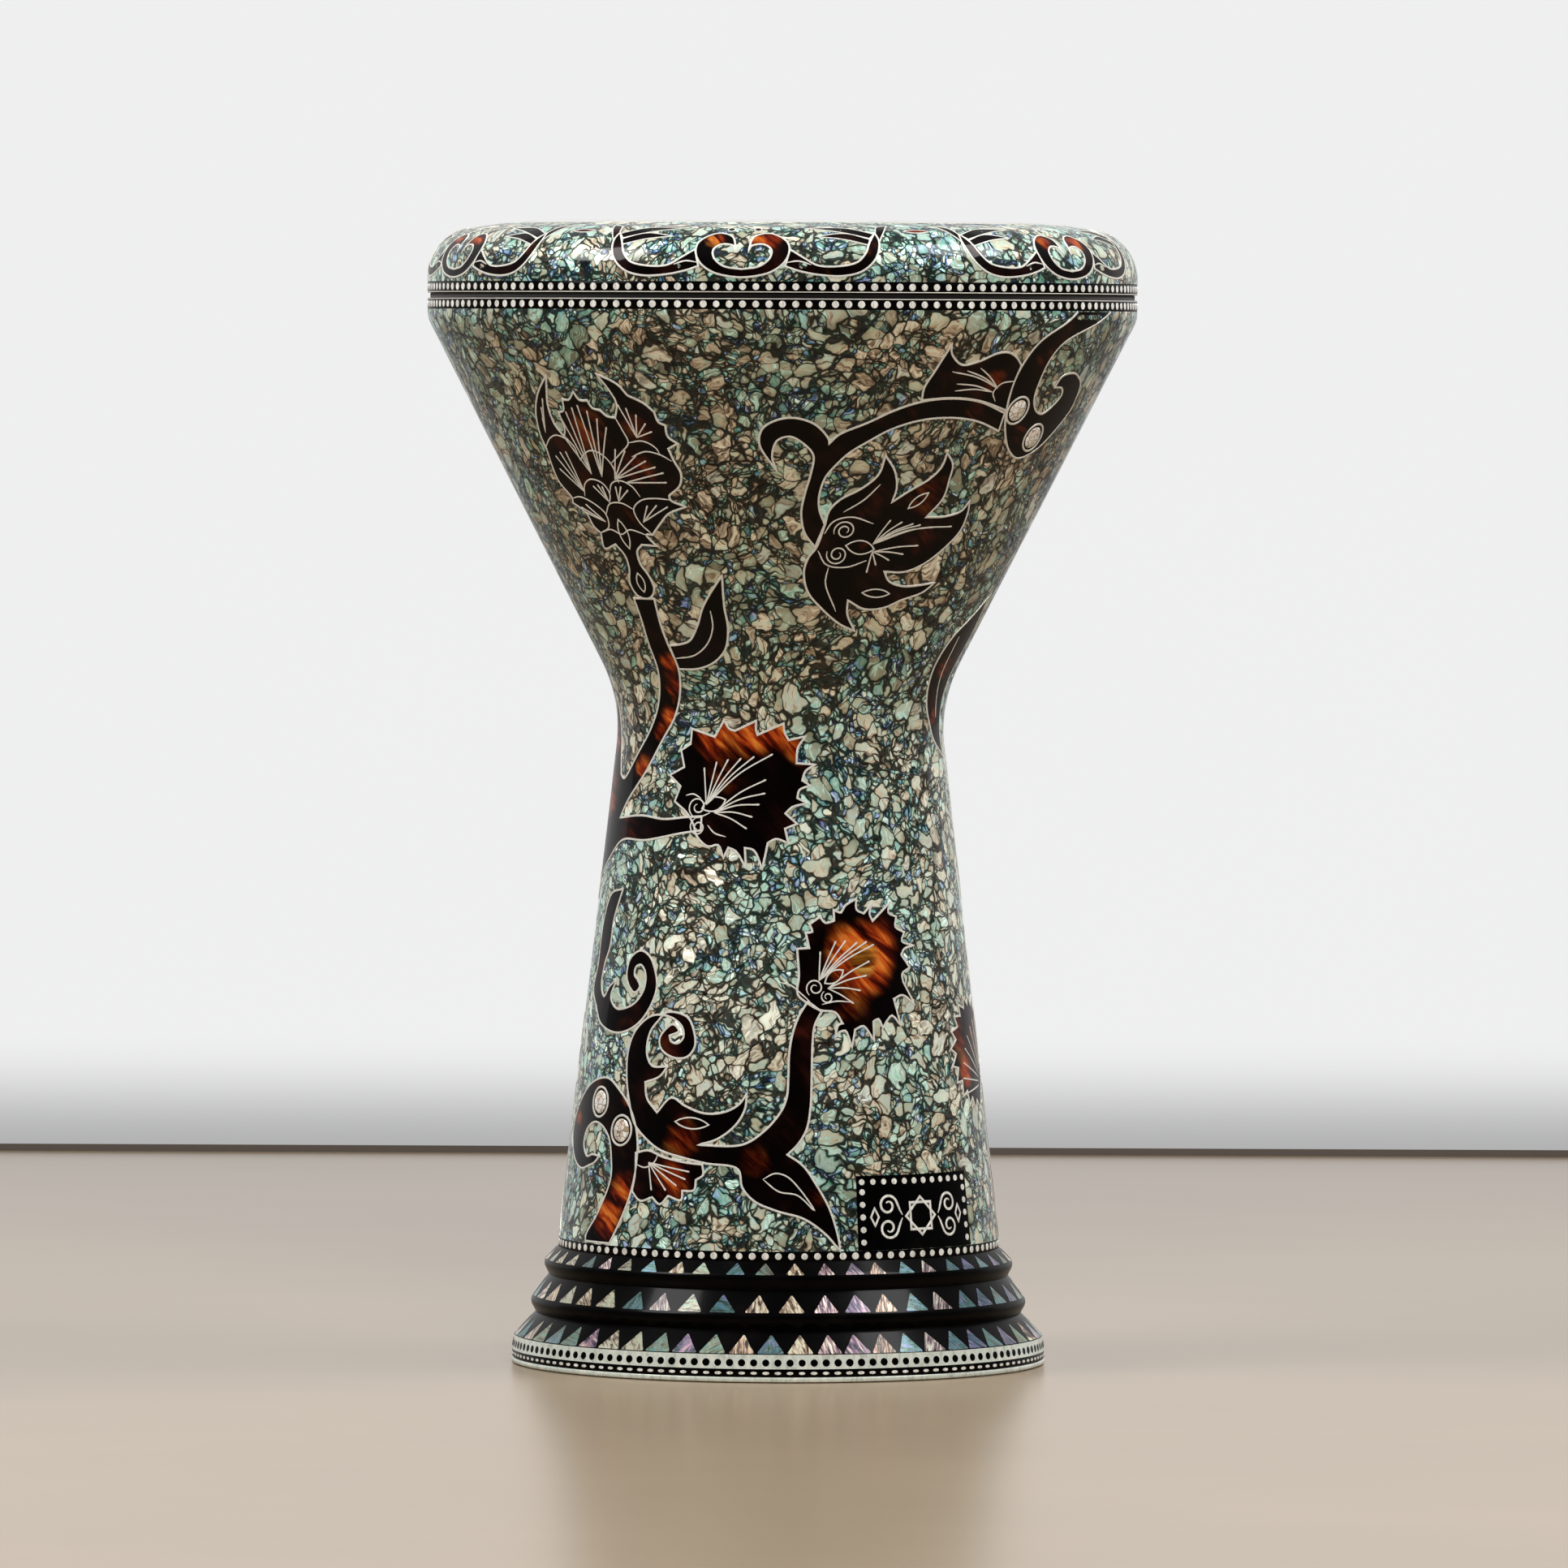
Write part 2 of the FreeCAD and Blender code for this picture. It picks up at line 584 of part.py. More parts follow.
def make_head():
    """The film, bent over the bearing edge and out into its hoop, the channel hoop, and the resin in it."""
    film = new_body("head_film")
    floor = more(HOOP_BOTTOM, "hoop_wall")
    flange = less(HOOP_TOP, "film")
    set_in = f"({HOOP_IN} + {size('hoop_width')} / 3)"
    set_out = more(set_in, "film")
    set_bottom = more(floor, "film_set_clearance")
    outside = [("0", HEAD_TOP), (FILM_OUT, HEAD_TOP), (FILM_OUT, HOOP_TOP), (set_out, HOOP_TOP)]
    inside = [(set_in, flange), (FILM_IN, flange), (FILM_IN, HEAD_UNDER), ("0", HEAD_UNDER)]
    turned(film, outside + [(set_out, set_bottom), (set_in, set_bottom)] + inside)
    rounded(film, more(size("bearing_blend"), "film"), (FILM_OUT, HEAD_TOP))
    rounded(film, size("bearing_blend"), (FILM_IN, HEAD_UNDER))

    hoop = new_body("head_hoop")
    wall_in = more(HOOP_IN, "hoop_wall")
    wall_out = less(HOOP_OUT, "hoop_wall")
    brim = less(flange, "film_clearance")
    channel = [(HOOP_IN, HOOP_BOTTOM), (HOOP_OUT, HOOP_BOTTOM), (HOOP_OUT, HOOP_TOP), (wall_out, HOOP_TOP)]
    turned(hoop, channel + [(wall_out, floor), (wall_in, floor), (wall_in, brim), (HOOP_IN, brim)])

    resin = new_body("hoop_resin")
    fill = less(brim, "hoop_wall")
    around_film = [(set_out, fill), (set_out, set_bottom), (set_in, set_bottom), (set_in, fill)]
    turned(resin, [(wall_in, floor), (wall_out, floor), (wall_out, fill), *around_film, (wall_in, fill)])
    return [film, hoop, resin]


def make_ring():
    """The tuning ring: a cast crown with a lip over the hoop, bored and hollowed from below."""
    body = new_body("tuning_ring")
    crown = (RIM_CORE, less(CROWN_CORNER, "skin"))
    underside = [(CAVITY, PRESS_FACE), (CAVITY, RING_BOTTOM), (RIM_CORE, RING_BOTTOM)]
    lip = [(LIP_OUT, less(LIP_TOP, "skin")), (LIP_OUT, LIP_TOP), (LIP_IN, LIP_TOP), (LIP_IN, PRESS_FACE)]
    turned(body, [*underside, crown, *lip])
    rounded(body, less(CROWN_BLEND, "skin"), crown)
    depth = f"({more(SCREW_TIP, 'thread_end_clearance')} - {RING_BOTTOM})"
    hole = bored(body, "thread_hole", round_hole(THREAD), RING_BOTTOM, depth, upwards=True)
    repeated(body, hole, SCREW_COUNT)
    cut_pockets(body)
    return body


def cut_pockets(body):
    """Hollows the ring from below between its screw bosses."""
    sketch = sketch_on(body, "ring_pocket_profile", "XZ_Plane")
    between = FULL_TURN / SCREW_COUNT / 2
    sketch.AttachmentOffset = Placement(Vector(), Rotation(Vector(0, 1, 0), between))
    inner = more(CAVITY, "pocket_wall")
    outer = less(RIM_CORE, "pocket_wall")
    top = more(RING_BOTTOM, "pocket_depth")
    add_outline(sketch, [(inner, RING_BOTTOM), (outer, RING_BOTTOM), (outer, top), (inner, top)])
    pocket = body.newObject("PartDesign::Groove", "ring_pocket")
    pocket.Profile = sketch
    pocket.ReferenceAxis = (sketch, ["V_Axis"])
    pocket.Midplane = True
    pocket.Angle = value(size("pocket_span"))
    pocket.setExpression("Angle", size("pocket_span"))
    sketch.Visibility = False
    repeated(body, checked_cut(pocket), SCREW_COUNT, axis="V_Axis")


def make_ring_skin():
    """The mosaic over the ring's crown, and the dotted strip under it."""
    mosaic = new_body("ring_mosaic")
    outer = [(RIM, RING_STRIP_TOP), (RIM, CROWN_CORNER), (LIP_OUT, LIP_TOP)]
    crown_core = (RIM_CORE, less(CROWN_CORNER, "skin"))
    turned(mosaic, outer + [(LIP_OUT, less(LIP_TOP, "skin")), crown_core, (RIM_CORE, RING_STRIP_TOP)])
    rounded(mosaic, CROWN_BLEND, outer[1])
    rounded(mosaic, less(CROWN_BLEND, "skin"), crown_core)
    return [mosaic, ring_of("ring_dot_strip", RIM_CORE, RIM, RING_BOTTOM, RING_STRIP_TOP)]


def on_screw_circle(index):
    """The placement of a piece, modelled on the axis, at one of the screws."""
    azimuth = index * FULL_TURN / SCREW_COUNT - FRONT
    return Placement(at_azimuth(value(SCREW_CIRCLE), azimuth, 0), Rotation())


def make_screw(index):
    """A socket head cap screw, head down under the shelf, that draws the ring down from inside the bowl."""
    body = new_body(f"tuning_screw_{index + 1}")
    head_bottom = less(SCREW_SEAT, "screw_head_height")
    head = size("screw_head_radius")
    shank = size("screw_radius")
    head_side = [("0", head_bottom), (head, head_bottom), (head, SCREW_SEAT)]
    turned(body, head_side + [(shank, SCREW_SEAT), (shank, SCREW_TIP), ("0", SCREW_TIP)])
    bored(body, f"hex_socket_{index + 1}", add_hexagon, head_bottom, size("hex_depth"), upwards=True)
    body.Placement = on_screw_circle(index)
    return body


def make_washers():
    """One plain washer under each screw head, seated on its spot face."""
    bore = value(more(size("screw_radius"), "washer_clearance"))
    thickness = value(size("washer_thickness"))
    seat = Vector(0, 0, value(SCREW_SEAT))
    blank = Part.makeCylinder(value(size("washer_radius")), thickness, seat)
    washer = blank.cut(Part.makeCylinder(bore, thickness, seat))
    placed = [washer.transformed(on_screw_circle(i).toMatrix()) for i in range(SCREW_COUNT)]
    group = doc.addObject("Part::Feature", "screw_washers")
    group.Shape = Part.makeCompound(placed)
    return group


# ---------------------------------------------------------------- the whole drum


def build():
    """Makes every sub-part, and returns them in order."""
    casting = make_casting()
    panel = make_panel()
    cabochons = make_cabochons()
    mosaic = let_in("shell_mosaic", make_mosaic_blank(), [panel, cabochons], [panel, cabochons])
    rows = [make_triangles(label, row) for label, row in TRIANGLE_ROWS.items()]
    triangles, tools = zip(*rows)
    lacquer = let_in("foot_lacquer", make_lacquer_blank(), list(tools), triangles)
    shell_strip = ring_of("shell_dot_strip", RIM_CORE, RIM, SHELL_STRIP_BOTTOM, SHELF_TOP)
    screws = [make_screw(i) for i in range(SCREW_COUNT)]
    return [
        casting,
        mosaic,
        shell_strip,
        panel,
        cabochons,
        lacquer,
        *triangles,
        *make_foot_strips(),
        *make_head(),
        make_ring(),
        *make_ring_skin(),
        make_washers(),
        *screws,
    ]


def check(subparts):
    """Stops if any object failed to build, or any sub-part isn't made of valid closed solids."""
    failed = [o.Label for o in doc.Objects if {"Invalid", "Error"} & set(o.State)]
    assert not failed, f"failed: {failed}"
    for part in subparts:
        assert not part.Shape.isNull() and part.Shape.isValid(), part.Label
        assert part.Shape.Solids and all(s.Volume > 0 for s in part.Shape.Solids), part.Label


def main():
    subparts = build()
    doc.recompute()
    check(subparts)
    os.makedirs("parts", exist_ok=True)
    for part in subparts:
        part.Shape.exportStep(f"parts/{part.Label}.step")
        print(part.Label, len(part.Shape.Solids), round(part.Shape.Volume, 1))


main()
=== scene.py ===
import math

import bmesh
import bpy
import numpy as np
from mathutils import Matrix, Vector
from mathutils.geometry import delaunay_2d_cdt


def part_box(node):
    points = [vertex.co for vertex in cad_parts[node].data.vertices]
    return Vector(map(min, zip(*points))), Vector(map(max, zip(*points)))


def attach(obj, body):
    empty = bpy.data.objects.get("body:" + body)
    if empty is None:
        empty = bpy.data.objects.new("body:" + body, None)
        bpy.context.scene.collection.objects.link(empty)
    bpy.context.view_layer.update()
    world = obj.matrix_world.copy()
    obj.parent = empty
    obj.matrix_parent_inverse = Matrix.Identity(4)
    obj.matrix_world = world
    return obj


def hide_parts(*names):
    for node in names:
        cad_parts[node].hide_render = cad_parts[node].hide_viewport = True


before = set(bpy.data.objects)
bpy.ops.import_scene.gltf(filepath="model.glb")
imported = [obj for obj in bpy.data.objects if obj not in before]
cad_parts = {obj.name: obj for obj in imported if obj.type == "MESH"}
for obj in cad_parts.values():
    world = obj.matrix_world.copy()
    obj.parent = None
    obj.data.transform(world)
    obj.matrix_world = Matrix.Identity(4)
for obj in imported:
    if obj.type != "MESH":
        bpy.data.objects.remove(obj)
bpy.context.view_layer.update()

MM = 0.001
BAKE_MAP = "OFBake"
SETS = 2  # how many times the vines are set round the drum
HEARTS = 6  # how many times the ring's heart and scrolls are set round it

# ---------------------------------------------------------------- the drum's sizes

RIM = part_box("shell_mosaic")[1].x / MM
SHELL_STRIP = [corner.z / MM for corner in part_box("shell_dot_strip")]
RING_STRIP = [corner.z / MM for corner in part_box("ring_dot_strip")]
FOOT_STRIP = [corner.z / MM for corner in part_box("foot_dot_strip")]
BAND = [corner.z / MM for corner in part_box("foot_pearl_band")]
EDGE_STRIP = [corner.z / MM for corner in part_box("foot_edge_strip")]
PEARL_EDGE = [corner.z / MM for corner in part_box("foot_pearl_edge")]
PANEL = [corner.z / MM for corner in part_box("skirt_panel")]
LIP_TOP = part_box("ring_mosaic")[1].z / MM
HEAD_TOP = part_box("head_film")[1].z / MM
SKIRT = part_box("foot_dot_strip")[1].x / MM
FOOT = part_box("foot_pearl_edge")[1].x / MM
STEP = 104.4  # the radius where the foot's steps begin
SKIN = 1.5  # how thick the skins are

# Outlines from the floor up, as (radius, height, radius of the blend).
SHELL_LINE = [
    (SKIRT, FOOT_STRIP[1], 0),
    (62.6, 261.0, 60),
    (RIM, 412.4, 11),
    (RIM, SHELL_STRIP[0], 0),
]
CROWN_LINE = [(RIM, RING_STRIP[1], 0), (RIM, 445.04, 20), (111.5, LIP_TOP, 0)]
FOOT_LINE = [
    (STEP, BAND[1], 0),
    (95.8, 20.0, 0),
    (98.3, 24.6, 3.2),
    (90.7, 34.9, 0),
    (93.2, 39.8, 3.2),
    (SKIRT, FOOT_STRIP[0], 0),
]
PANEL_START, PANEL_SPAN = 21.0, 39.0


def rounded(corners, step):
    """The points of an open outline of (radius, height, blend) corners, no further apart than the step."""
    spots = np.array([corner[:2] for corner in corners], float)
    line = [spots[0]]
    for i in range(1, len(corners) - 1):
        back, on = spots[i - 1] - spots[i], spots[i + 1] - spots[i]
        back, on, blend = back / np.linalg.norm(back), on / np.linalg.norm(on), corners[i][2]
        half = math.acos(float(back @ on)) / 2
        if not blend:
            line.append(spots[i])
            continue
        start, end = (spots[i] + way * blend / math.tan(half) for way in (back, on))
        centre = spots[i] + (back + on) / np.linalg.norm(back + on) * blend / math.sin(half)
        sweep = math.pi - 2 * half
        pieces = max(3, math.ceil(sweep * blend / step))
        for k in range(pieces + 1):
            part = k / pieces
            weights = math.sin((1 - part) * sweep), math.sin(part * sweep)
            arm = (weights[0] * (start - centre) + weights[1] * (end - centre)) / math.sin(sweep)
            line.append(centre + arm)
    line.append(spots[-1])
    fine = [line[0]]
    for spot in line[1:]:
        pieces = max(1, math.ceil(np.linalg.norm(spot - fine[-1]) / step))
        fine += [fine[-1] + (spot - fine[-1]) * (k + 1) / pieces for k in range(pieces)]
    return np.array(fine)


class Skin:
    """A turned surface that inlays are wrapped on, by azimuth and by the distance along its outline."""

    def __init__(self, line):
        points = rounded(line, 0.5)
        self.radii, self.heights = points.T
        self.along = np.concatenate([[0], np.cumsum(np.linalg.norm(np.diff(points, axis=0), axis=1))])
        slopes = np.gradient(points, self.along, axis=0)
        self.outward, self.upward = slopes[:, 1], -slopes[:, 0]

    def distance(self, height):
        """How far along the outline a height is."""
        return np.interp(height, self.heights, self.along)

    def radius(self, height):
        return float(np.interp(height, self.heights, self.radii))

    def wrap(self, turn, along, lift):
        """Points and normals in metres, from azimuths in radians, distances along and a lift off the skin."""
        turn, along = np.asarray(turn, float), np.asarray(along, float)
        radius, height, outward, upward = (
            np.interp(along, self.along, values)
            for values in (self.radii, self.heights, self.outward, self.upward)
        )
        size = np.hypot(outward, upward)
        outward, upward = outward / size, upward / size
        normal = np.stack([outward * np.sin(turn), -outward * np.cos(turn), upward], axis=-1)
        spot = np.stack([radius * np.sin(turn), -radius * np.cos(turn), height], axis=-1)
        return (spot + normal * np.asarray(lift, float)[..., None]) * MM, normal


SHELL_SKIN, CROWN_SKIN, FOOT_SKIN = Skin(SHELL_LINE), Skin(CROWN_LINE), Skin(FOOT_LINE)

# ---------------------------------------------------------------- making materials


def colour(code):
    """An sRGB hex colour as linear red, green, blue and alpha."""
    parts = [int(code[i : i + 2], 16) / 255 for i in (0, 2, 4)]
    return (*[p / 12.92 if p <= 0.04045 else ((p + 0.055) / 1.055) ** 2.4 for p in parts], 1.0)


def graded(ramp, *stops):
    """Sets a colour ramp's stops, as (place, hex colour)."""
    while len(ramp.elements) < len(stops):
        ramp.elements.new(0.5)
    for element, (place, code) in zip(ramp.elements, stops):
        element.position, element.color = place, colour(code)


class Nodes:
    """A node tree with short ways to add to it. All but add give the new node's output."""

    def __init__(self, tree):
        self.tree = tree

    def add(self, kind, inputs=None, **settings):
        """Adds a node with its settings. Its inputs, by name or number, are values or nodes' outputs."""
        node = self.tree.nodes.new(kind)
        for name, setting in settings.items():
            setattr(node, name, setting)
        for key, given in (inputs or {}).items():
            if isinstance(given, bpy.types.NodeSocket):
                self.tree.links.new(given, node.inputs[key])
            else:
                node.inputs[key].default_value = given
        return node

    def maths(self, operation, *values):
        return self.add("ShaderNodeMath", dict(enumerate(values)), operation=operation).outputs[0]

    def vector(self, operation, *values, **named):
        given = {**dict(enumerate(values)), **named}
        return self.add("ShaderNodeVectorMath", given, operation=operation).outputs[0]

    def ranged(self, value, low, high, to_low, to_high, kind="LINEAR"):
        given = {0: value, 1: low, 2: high, 3: to_low, 4: to_high}
        return self.add("ShaderNodeMapRange", given, interpolation_type=kind).outputs[0]

    def noise(self, place, scale, detail, output="Fac", **others):
        given = {"Vector": place, "Scale": scale, "Detail": detail, **others}
        return self.add("ShaderNodeTexNoise", given).outputs[output]

    def blend(self, share, low, high):
        return self.add("ShaderNodeMix", {0: share, 6: low, 7: high}, data_type="RGBA").outputs[2]

    def ramp(self, share, *stops):
        tone = self.add("ShaderNodeValToRGB", {0: share})
        graded(tone.color_ramp, *stops)
        return tone.outputs[0]

    def parts(self, colours):
        """A colour's three parts, each a lot between 0 and 1."""
        return self.add("ShaderNodeSeparateColor", {0: colours}).outputs

    def rotated(self, place, axis, angle):
        return self.add("ShaderNodeVectorRotate", {"Vector": place, "Axis": axis, "Angle": angle}).outputs[0]

    def millimetres(self):
        """Object coordinates in millimetres."""
        place = self.add("ShaderNodeTexCoord").outputs["Object"]
        return self.vector("SCALE", place, Scale=1 / MM)

    def height(self, place):
        return self.add("ShaderNodeSeparateXYZ", {0: place}).outputs["Z"]

    def mark(self, name):
        return self.add("ShaderNodeAttribute", attribute_name=name).outputs["Fac"]

    def centred(self, colours, reach):
        """Colours as pushes either way, up to half of this reach."""
        return self.vector("SCALE", self.vector("SUBTRACT", colours, (0.5, 0.5, 0.5)), Scale=reach)

    def leaning(self, lots, reach):
        """The surface's normal, leaned by each lot's own push."""
        facing = self.add("ShaderNodeNewGeometry").outputs["Normal"]
        return self.vector("NORMALIZE", self.vector("ADD", facing, self.centred(lots, reach)))

    def dents(self, strength, depth_mm, height, **others):
        given = {"Strength": strength, "Distance": depth_mm * MM, "Height": height, **others}
        return self.add("ShaderNodeBump", given).outputs[0]


class Finish(Nodes):
    """A material of this name and the nodes of its tree, with its shader's plain sockets set."""

    def __init__(self, name, **sockets):
        self.material = bpy.data.materials.new(name)
        self.material.use_nodes = True
        super().__init__(self.material.node_tree)
        self.shader = self.tree.nodes["Principled BSDF"]
        for key, given in sockets.items():
            self.shader.inputs[key.replace("_", " ").title().replace("Ior", "IOR")].default_value = given

    def done(self, tone, normal=None):
        """Links the colour, and the normal if there is one, to the shader."""
        self.tree.links.new(tone, self.shader.inputs["Base Color"])
        if normal is not None:
            self.tree.links.new(normal, self.shader.inputs["Normal"])
        return self.material


def abalone_chips():
    """Crushed abalone set in dark resin and polished under lacquer.

    The eye sees rounded flakes of 2 to 8 mm, dark at their seams of resin, that drift over the drum from
    beige to khaki, grey green, mint, teal and blue. Painted shade darkens each flake's rim and painted light
    brightens its middle, so that it looks domed; painted light also lightens the skirt, the waist and the
    crown, and painted shade darkens the bottom.
    Each flake lies at its own tilt, so that some flash and others stay dark under the one smooth clear coat.
    """
    nodes = Finish(
        "abalone_chips_lacquered", metallic=0.35, roughness=0.3, specular_ior_level=0.05, coat_weight=0.34,
        coat_roughness=0.07,
    )
    maths, ranged = nodes.maths, nodes.ranged
    place = nodes.millimetres()

    # The swirl that draws the flakes out and rounds their outlines.
    bent = place
    for scale, reach in ((0.036, 15.0), (0.13, 4.4), (0.34, 2.2)):
        wave = nodes.noise(place, scale, 0.0, "Color")
        bent = nodes.vector("ADD", bent, nodes.centred(wave, reach))

    # Flakes of three sizes: some of the large ones are broken, and some of those broken again.
    flake = edge = reach = broken = None
    for width, share in ((6.6, 0.28), (4.3, 0.5), (2.7, None)):
        cells = {"Vector": bent, "Scale": 1 / width}
        cell = nodes.add("ShaderNodeTexVoronoi", cells).outputs
        rim = nodes.add("ShaderNodeTexVoronoi", cells, feature="DISTANCE_TO_EDGE").outputs["Distance"]
        corner = ranged(cell["Distance"], 0.45, 0.85, 0.0, 0.08)
        rim = maths("MULTIPLY", maths("SUBTRACT", rim, corner), width)
        if broken is None:
            flake, edge, reach = cell["Color"], rim, cell["Distance"]
            broken = maths("GREATER_THAN", nodes.parts(flake)[0], share)
            continue
        flake = nodes.blend(broken, flake, cell["Color"])
        edge = nodes.add("ShaderNodeMix", {0: broken, 2: edge, 3: maths("MINIMUM", edge, rim)}).outputs[0]
        reach = nodes.add("ShaderNodeMix", {0: broken, 2: reach, 3: cell["Distance"]}).outputs[0]
        if share:
            lot = nodes.parts(cell["Color"])[0]
            broken = maths("MULTIPLY", broken, maths("GREATER_THAN", lot, share))
    lot = nodes.parts(flake)
    second = nodes.add("ShaderNodeTexWhiteNoise", {"Vector": flake}).outputs["Color"]
    spare = nodes.parts(second)

    # Growth lines swirl across each flake its own way.
    turned = nodes.rotated(bent, flake, maths("MULTIPLY", lot[2], 6.28))
    drawn = nodes.vector("MULTIPLY", turned, (0.95, 0.28, 0.28))
    growth = nodes.noise(drawn, 0.5, 3.0, Distortion=1.6)

    # Hue: the flake's own, the drift over the drum, and the growth lines.
    height = nodes.height(place)
    drift = ranged(nodes.noise(place, 0.02, 2.0), 0.3, 0.7, -0.22, 0.26)
    cooler = maths("ADD", ranged(height, 220.0, 330.0, 0.1, 0.0), ranged(height, 330.0, 390.0, 0.0, 0.12))
    hue = maths("MULTIPLY_ADD", lot[0], 0.62, maths("ADD", drift, cooler))
    hue = maths("MULTIPLY_ADD", growth, 0.9, hue)
    shell = nodes.ramp(
        maths("SUBTRACT", hue, 0.33),
        (0.0, "524538"), (0.1, "7f705c"), (0.2, "a0907a"), (0.29, "aca48e"), (0.37, "8c907a"),
        (0.45, "74826f"),
        (0.53, "98b3a6"), (0.6, "4c8068"), (0.68, "4a7478"), (0.76, "5277a0"), (0.84, "75709a"),
        (0.91, "a3c4b6"),
        (1.0, "c9d4c8"),
    )
    # Lightness: the flake's own and its lines, then painted shade at its rim and painted light in its middle,
    # then painted light and shade by height over the skirt, the waist, the bottom and the crown.
    light = maths("MULTIPLY", ranged(spare[0], 0.0, 1.0, 0.68, 1.46), ranged(growth, 0.34, 0.66, 0.5, 1.62))
    # Painted shade darkens each flake's rim and painted light brightens its middle.
    light = maths("MULTIPLY", light, ranged(edge, 0.0, 0.6, 0.72, 1.0, "SMOOTHSTEP"))
    light = maths("MULTIPLY", light, ranged(reach, 0.25, 0.7, 1.14, 0.74))
    # Painted light by height: much lighter over the skirt and waist, painted shade towards the bottom, and a
    # painted highlight at the top of the bowl and on the crown.
    for low, high, to_low, to_high in (
        (130.0, 320.0, 3.5, 1.42), (80.0, 150.0, 0.56, 1.0), (405.0, 425.0, 1.0, 1.5)
    ):
        light = maths("MULTIPLY", light, ranged(height, low, high, to_low, to_high))
    lit = nodes.vector("SCALE", shell, Scale=light)
    # Where the lightness, painted light included, runs highest, the colour goes over to a cool white painted
    # highlight.
    lit = nodes.blend(ranged(light, 1.5, 3.6, 0.0, 0.65), lit, colour("b8cac4"))
    # About one flake in eight is nearly white: partly real white shell and partly a painted highlight. More
    # of them lower down are painted highlight where the light falls.
    white_lot_and_painted_highlight = maths("ADD", spare[1], ranged(height, 110.0, 290.0, 0.14, 0.0))
    white_shell_and_painted_highlight = maths("MULTIPLY", ranged(white_lot_and_painted_highlight, 0.86, 0.92, 0.0, 0.7), ranged(edge, 0.1, 0.9, 0.0, 1.0))
    white_shell_and_painted_highlight = maths("MULTIPLY", white_shell_and_painted_highlight, ranged(growth, 0.38, 0.58, 0.25, 1.0))
    lit = nodes.blend(white_shell_and_painted_highlight, lit, colour("d0e4dc"))

    # Dark resin in the seams, which open and close.
    near = ranged(nodes.noise(place, 0.14, 2.0), 0.38, 0.68, -0.12, 0.1)
    chip = ranged(edge, near, maths("ADD", near, 0.38), 0.0, 1.0, "SMOOTHSTEP")
    stained = nodes.blend(0.07, colour("090c0a"), lit)
    seen = nodes.blend(chip, stained, lit)

    # Each flake's tilt, seen through the smooth coat.
    return nodes.done(seen, nodes.dents(0.4, 0.9, growth, Normal=nodes.leaning(second, 0.45)))


def tortoiseshell():
    """Tortoiseshell plate, polished: near black and red brown.

    Where the mark "glow" is over a half it has red and orange flame, and over one, golden streaks.
    """
    nodes = Finish(
        "tortoiseshell_polished", roughness=0.35, specular_ior_level=0.02, coat_weight=0.22,
            coat_roughness=0.06
    )
    place = nodes.millimetres()
    fibres = []
    for angle in (-0.8, 0.12):
        drawn = nodes.vector("MULTIPLY", nodes.rotated(place, (0.0, 1.0, 0.0), angle), (0.05, 0.05, 0.28))
        fibres.append(nodes.noise(drawn, 1.0, 3.0, Roughness=0.5, Distortion=0.5))
    cloud = nodes.noise(place, 0.07, 2.0)
    dark = nodes.maths("MULTIPLY_ADD", fibres[0], 0.45, cloud)
    body = nodes.ramp(dark, (0.6, "030101"), (0.77, "090302"), (0.9, "180705"), (1.0, "2e0f09"))
    flame = nodes.ramp(
        fibres[0], (0.34, "1c0503"), (0.44, "4c1006"), (0.53, "8a2f0e"), (0.6, "b9541a"), (0.67, "cd7830"),
        (0.78, "4e1b0a"),
    )
    gold = nodes.ramp(
        fibres[1], (0.34, "2e1606"), (0.44, "6e420f"), (0.53, "a87a2c"), (0.6, "c69a4a"), (0.72, "5c3010")
    )
    uneven = nodes.maths("MULTIPLY_ADD", cloud, 0.4, nodes.mark("glow"))
    seen = nodes.blend(nodes.ranged(uneven, 0.42, 1.1, 0.0, 1.0, "SMOOTHSTEP"), body, flame)
    seen = nodes.blend(nodes.ranged(uneven, 1.25, 1.75, 0.0, 1.0, "SMOOTHSTEP"), seen, gold)
    return nodes.done(seen)


def worked_metal(name, code, roughness, grain_mm, depth_mm, spread=0.12, metallic=1.0):
    """A metal with a fine grain: small dents of this width and depth, and patches a little duller."""
    nodes = Finish(name, metallic=metallic, base_color=colour(code))
    place = nodes.millimetres()
    grain = nodes.noise(place, 1 / grain_mm, 4.0)
    patch = nodes.noise(place, 0.08, 3.0)
    dull = nodes.ranged(patch, 0.3, 0.7, roughness - spread, roughness + spread)
    nodes.tree.links.new(dull, nodes.shader.inputs["Roughness"])
    tone = nodes.vector("SCALE", colour(code)[:3], Scale=nodes.ranged(grain, 0.3, 0.7, 0.82, 1.08))
    return nodes.done(tone, nodes.dents(0.6, depth_mm, grain))


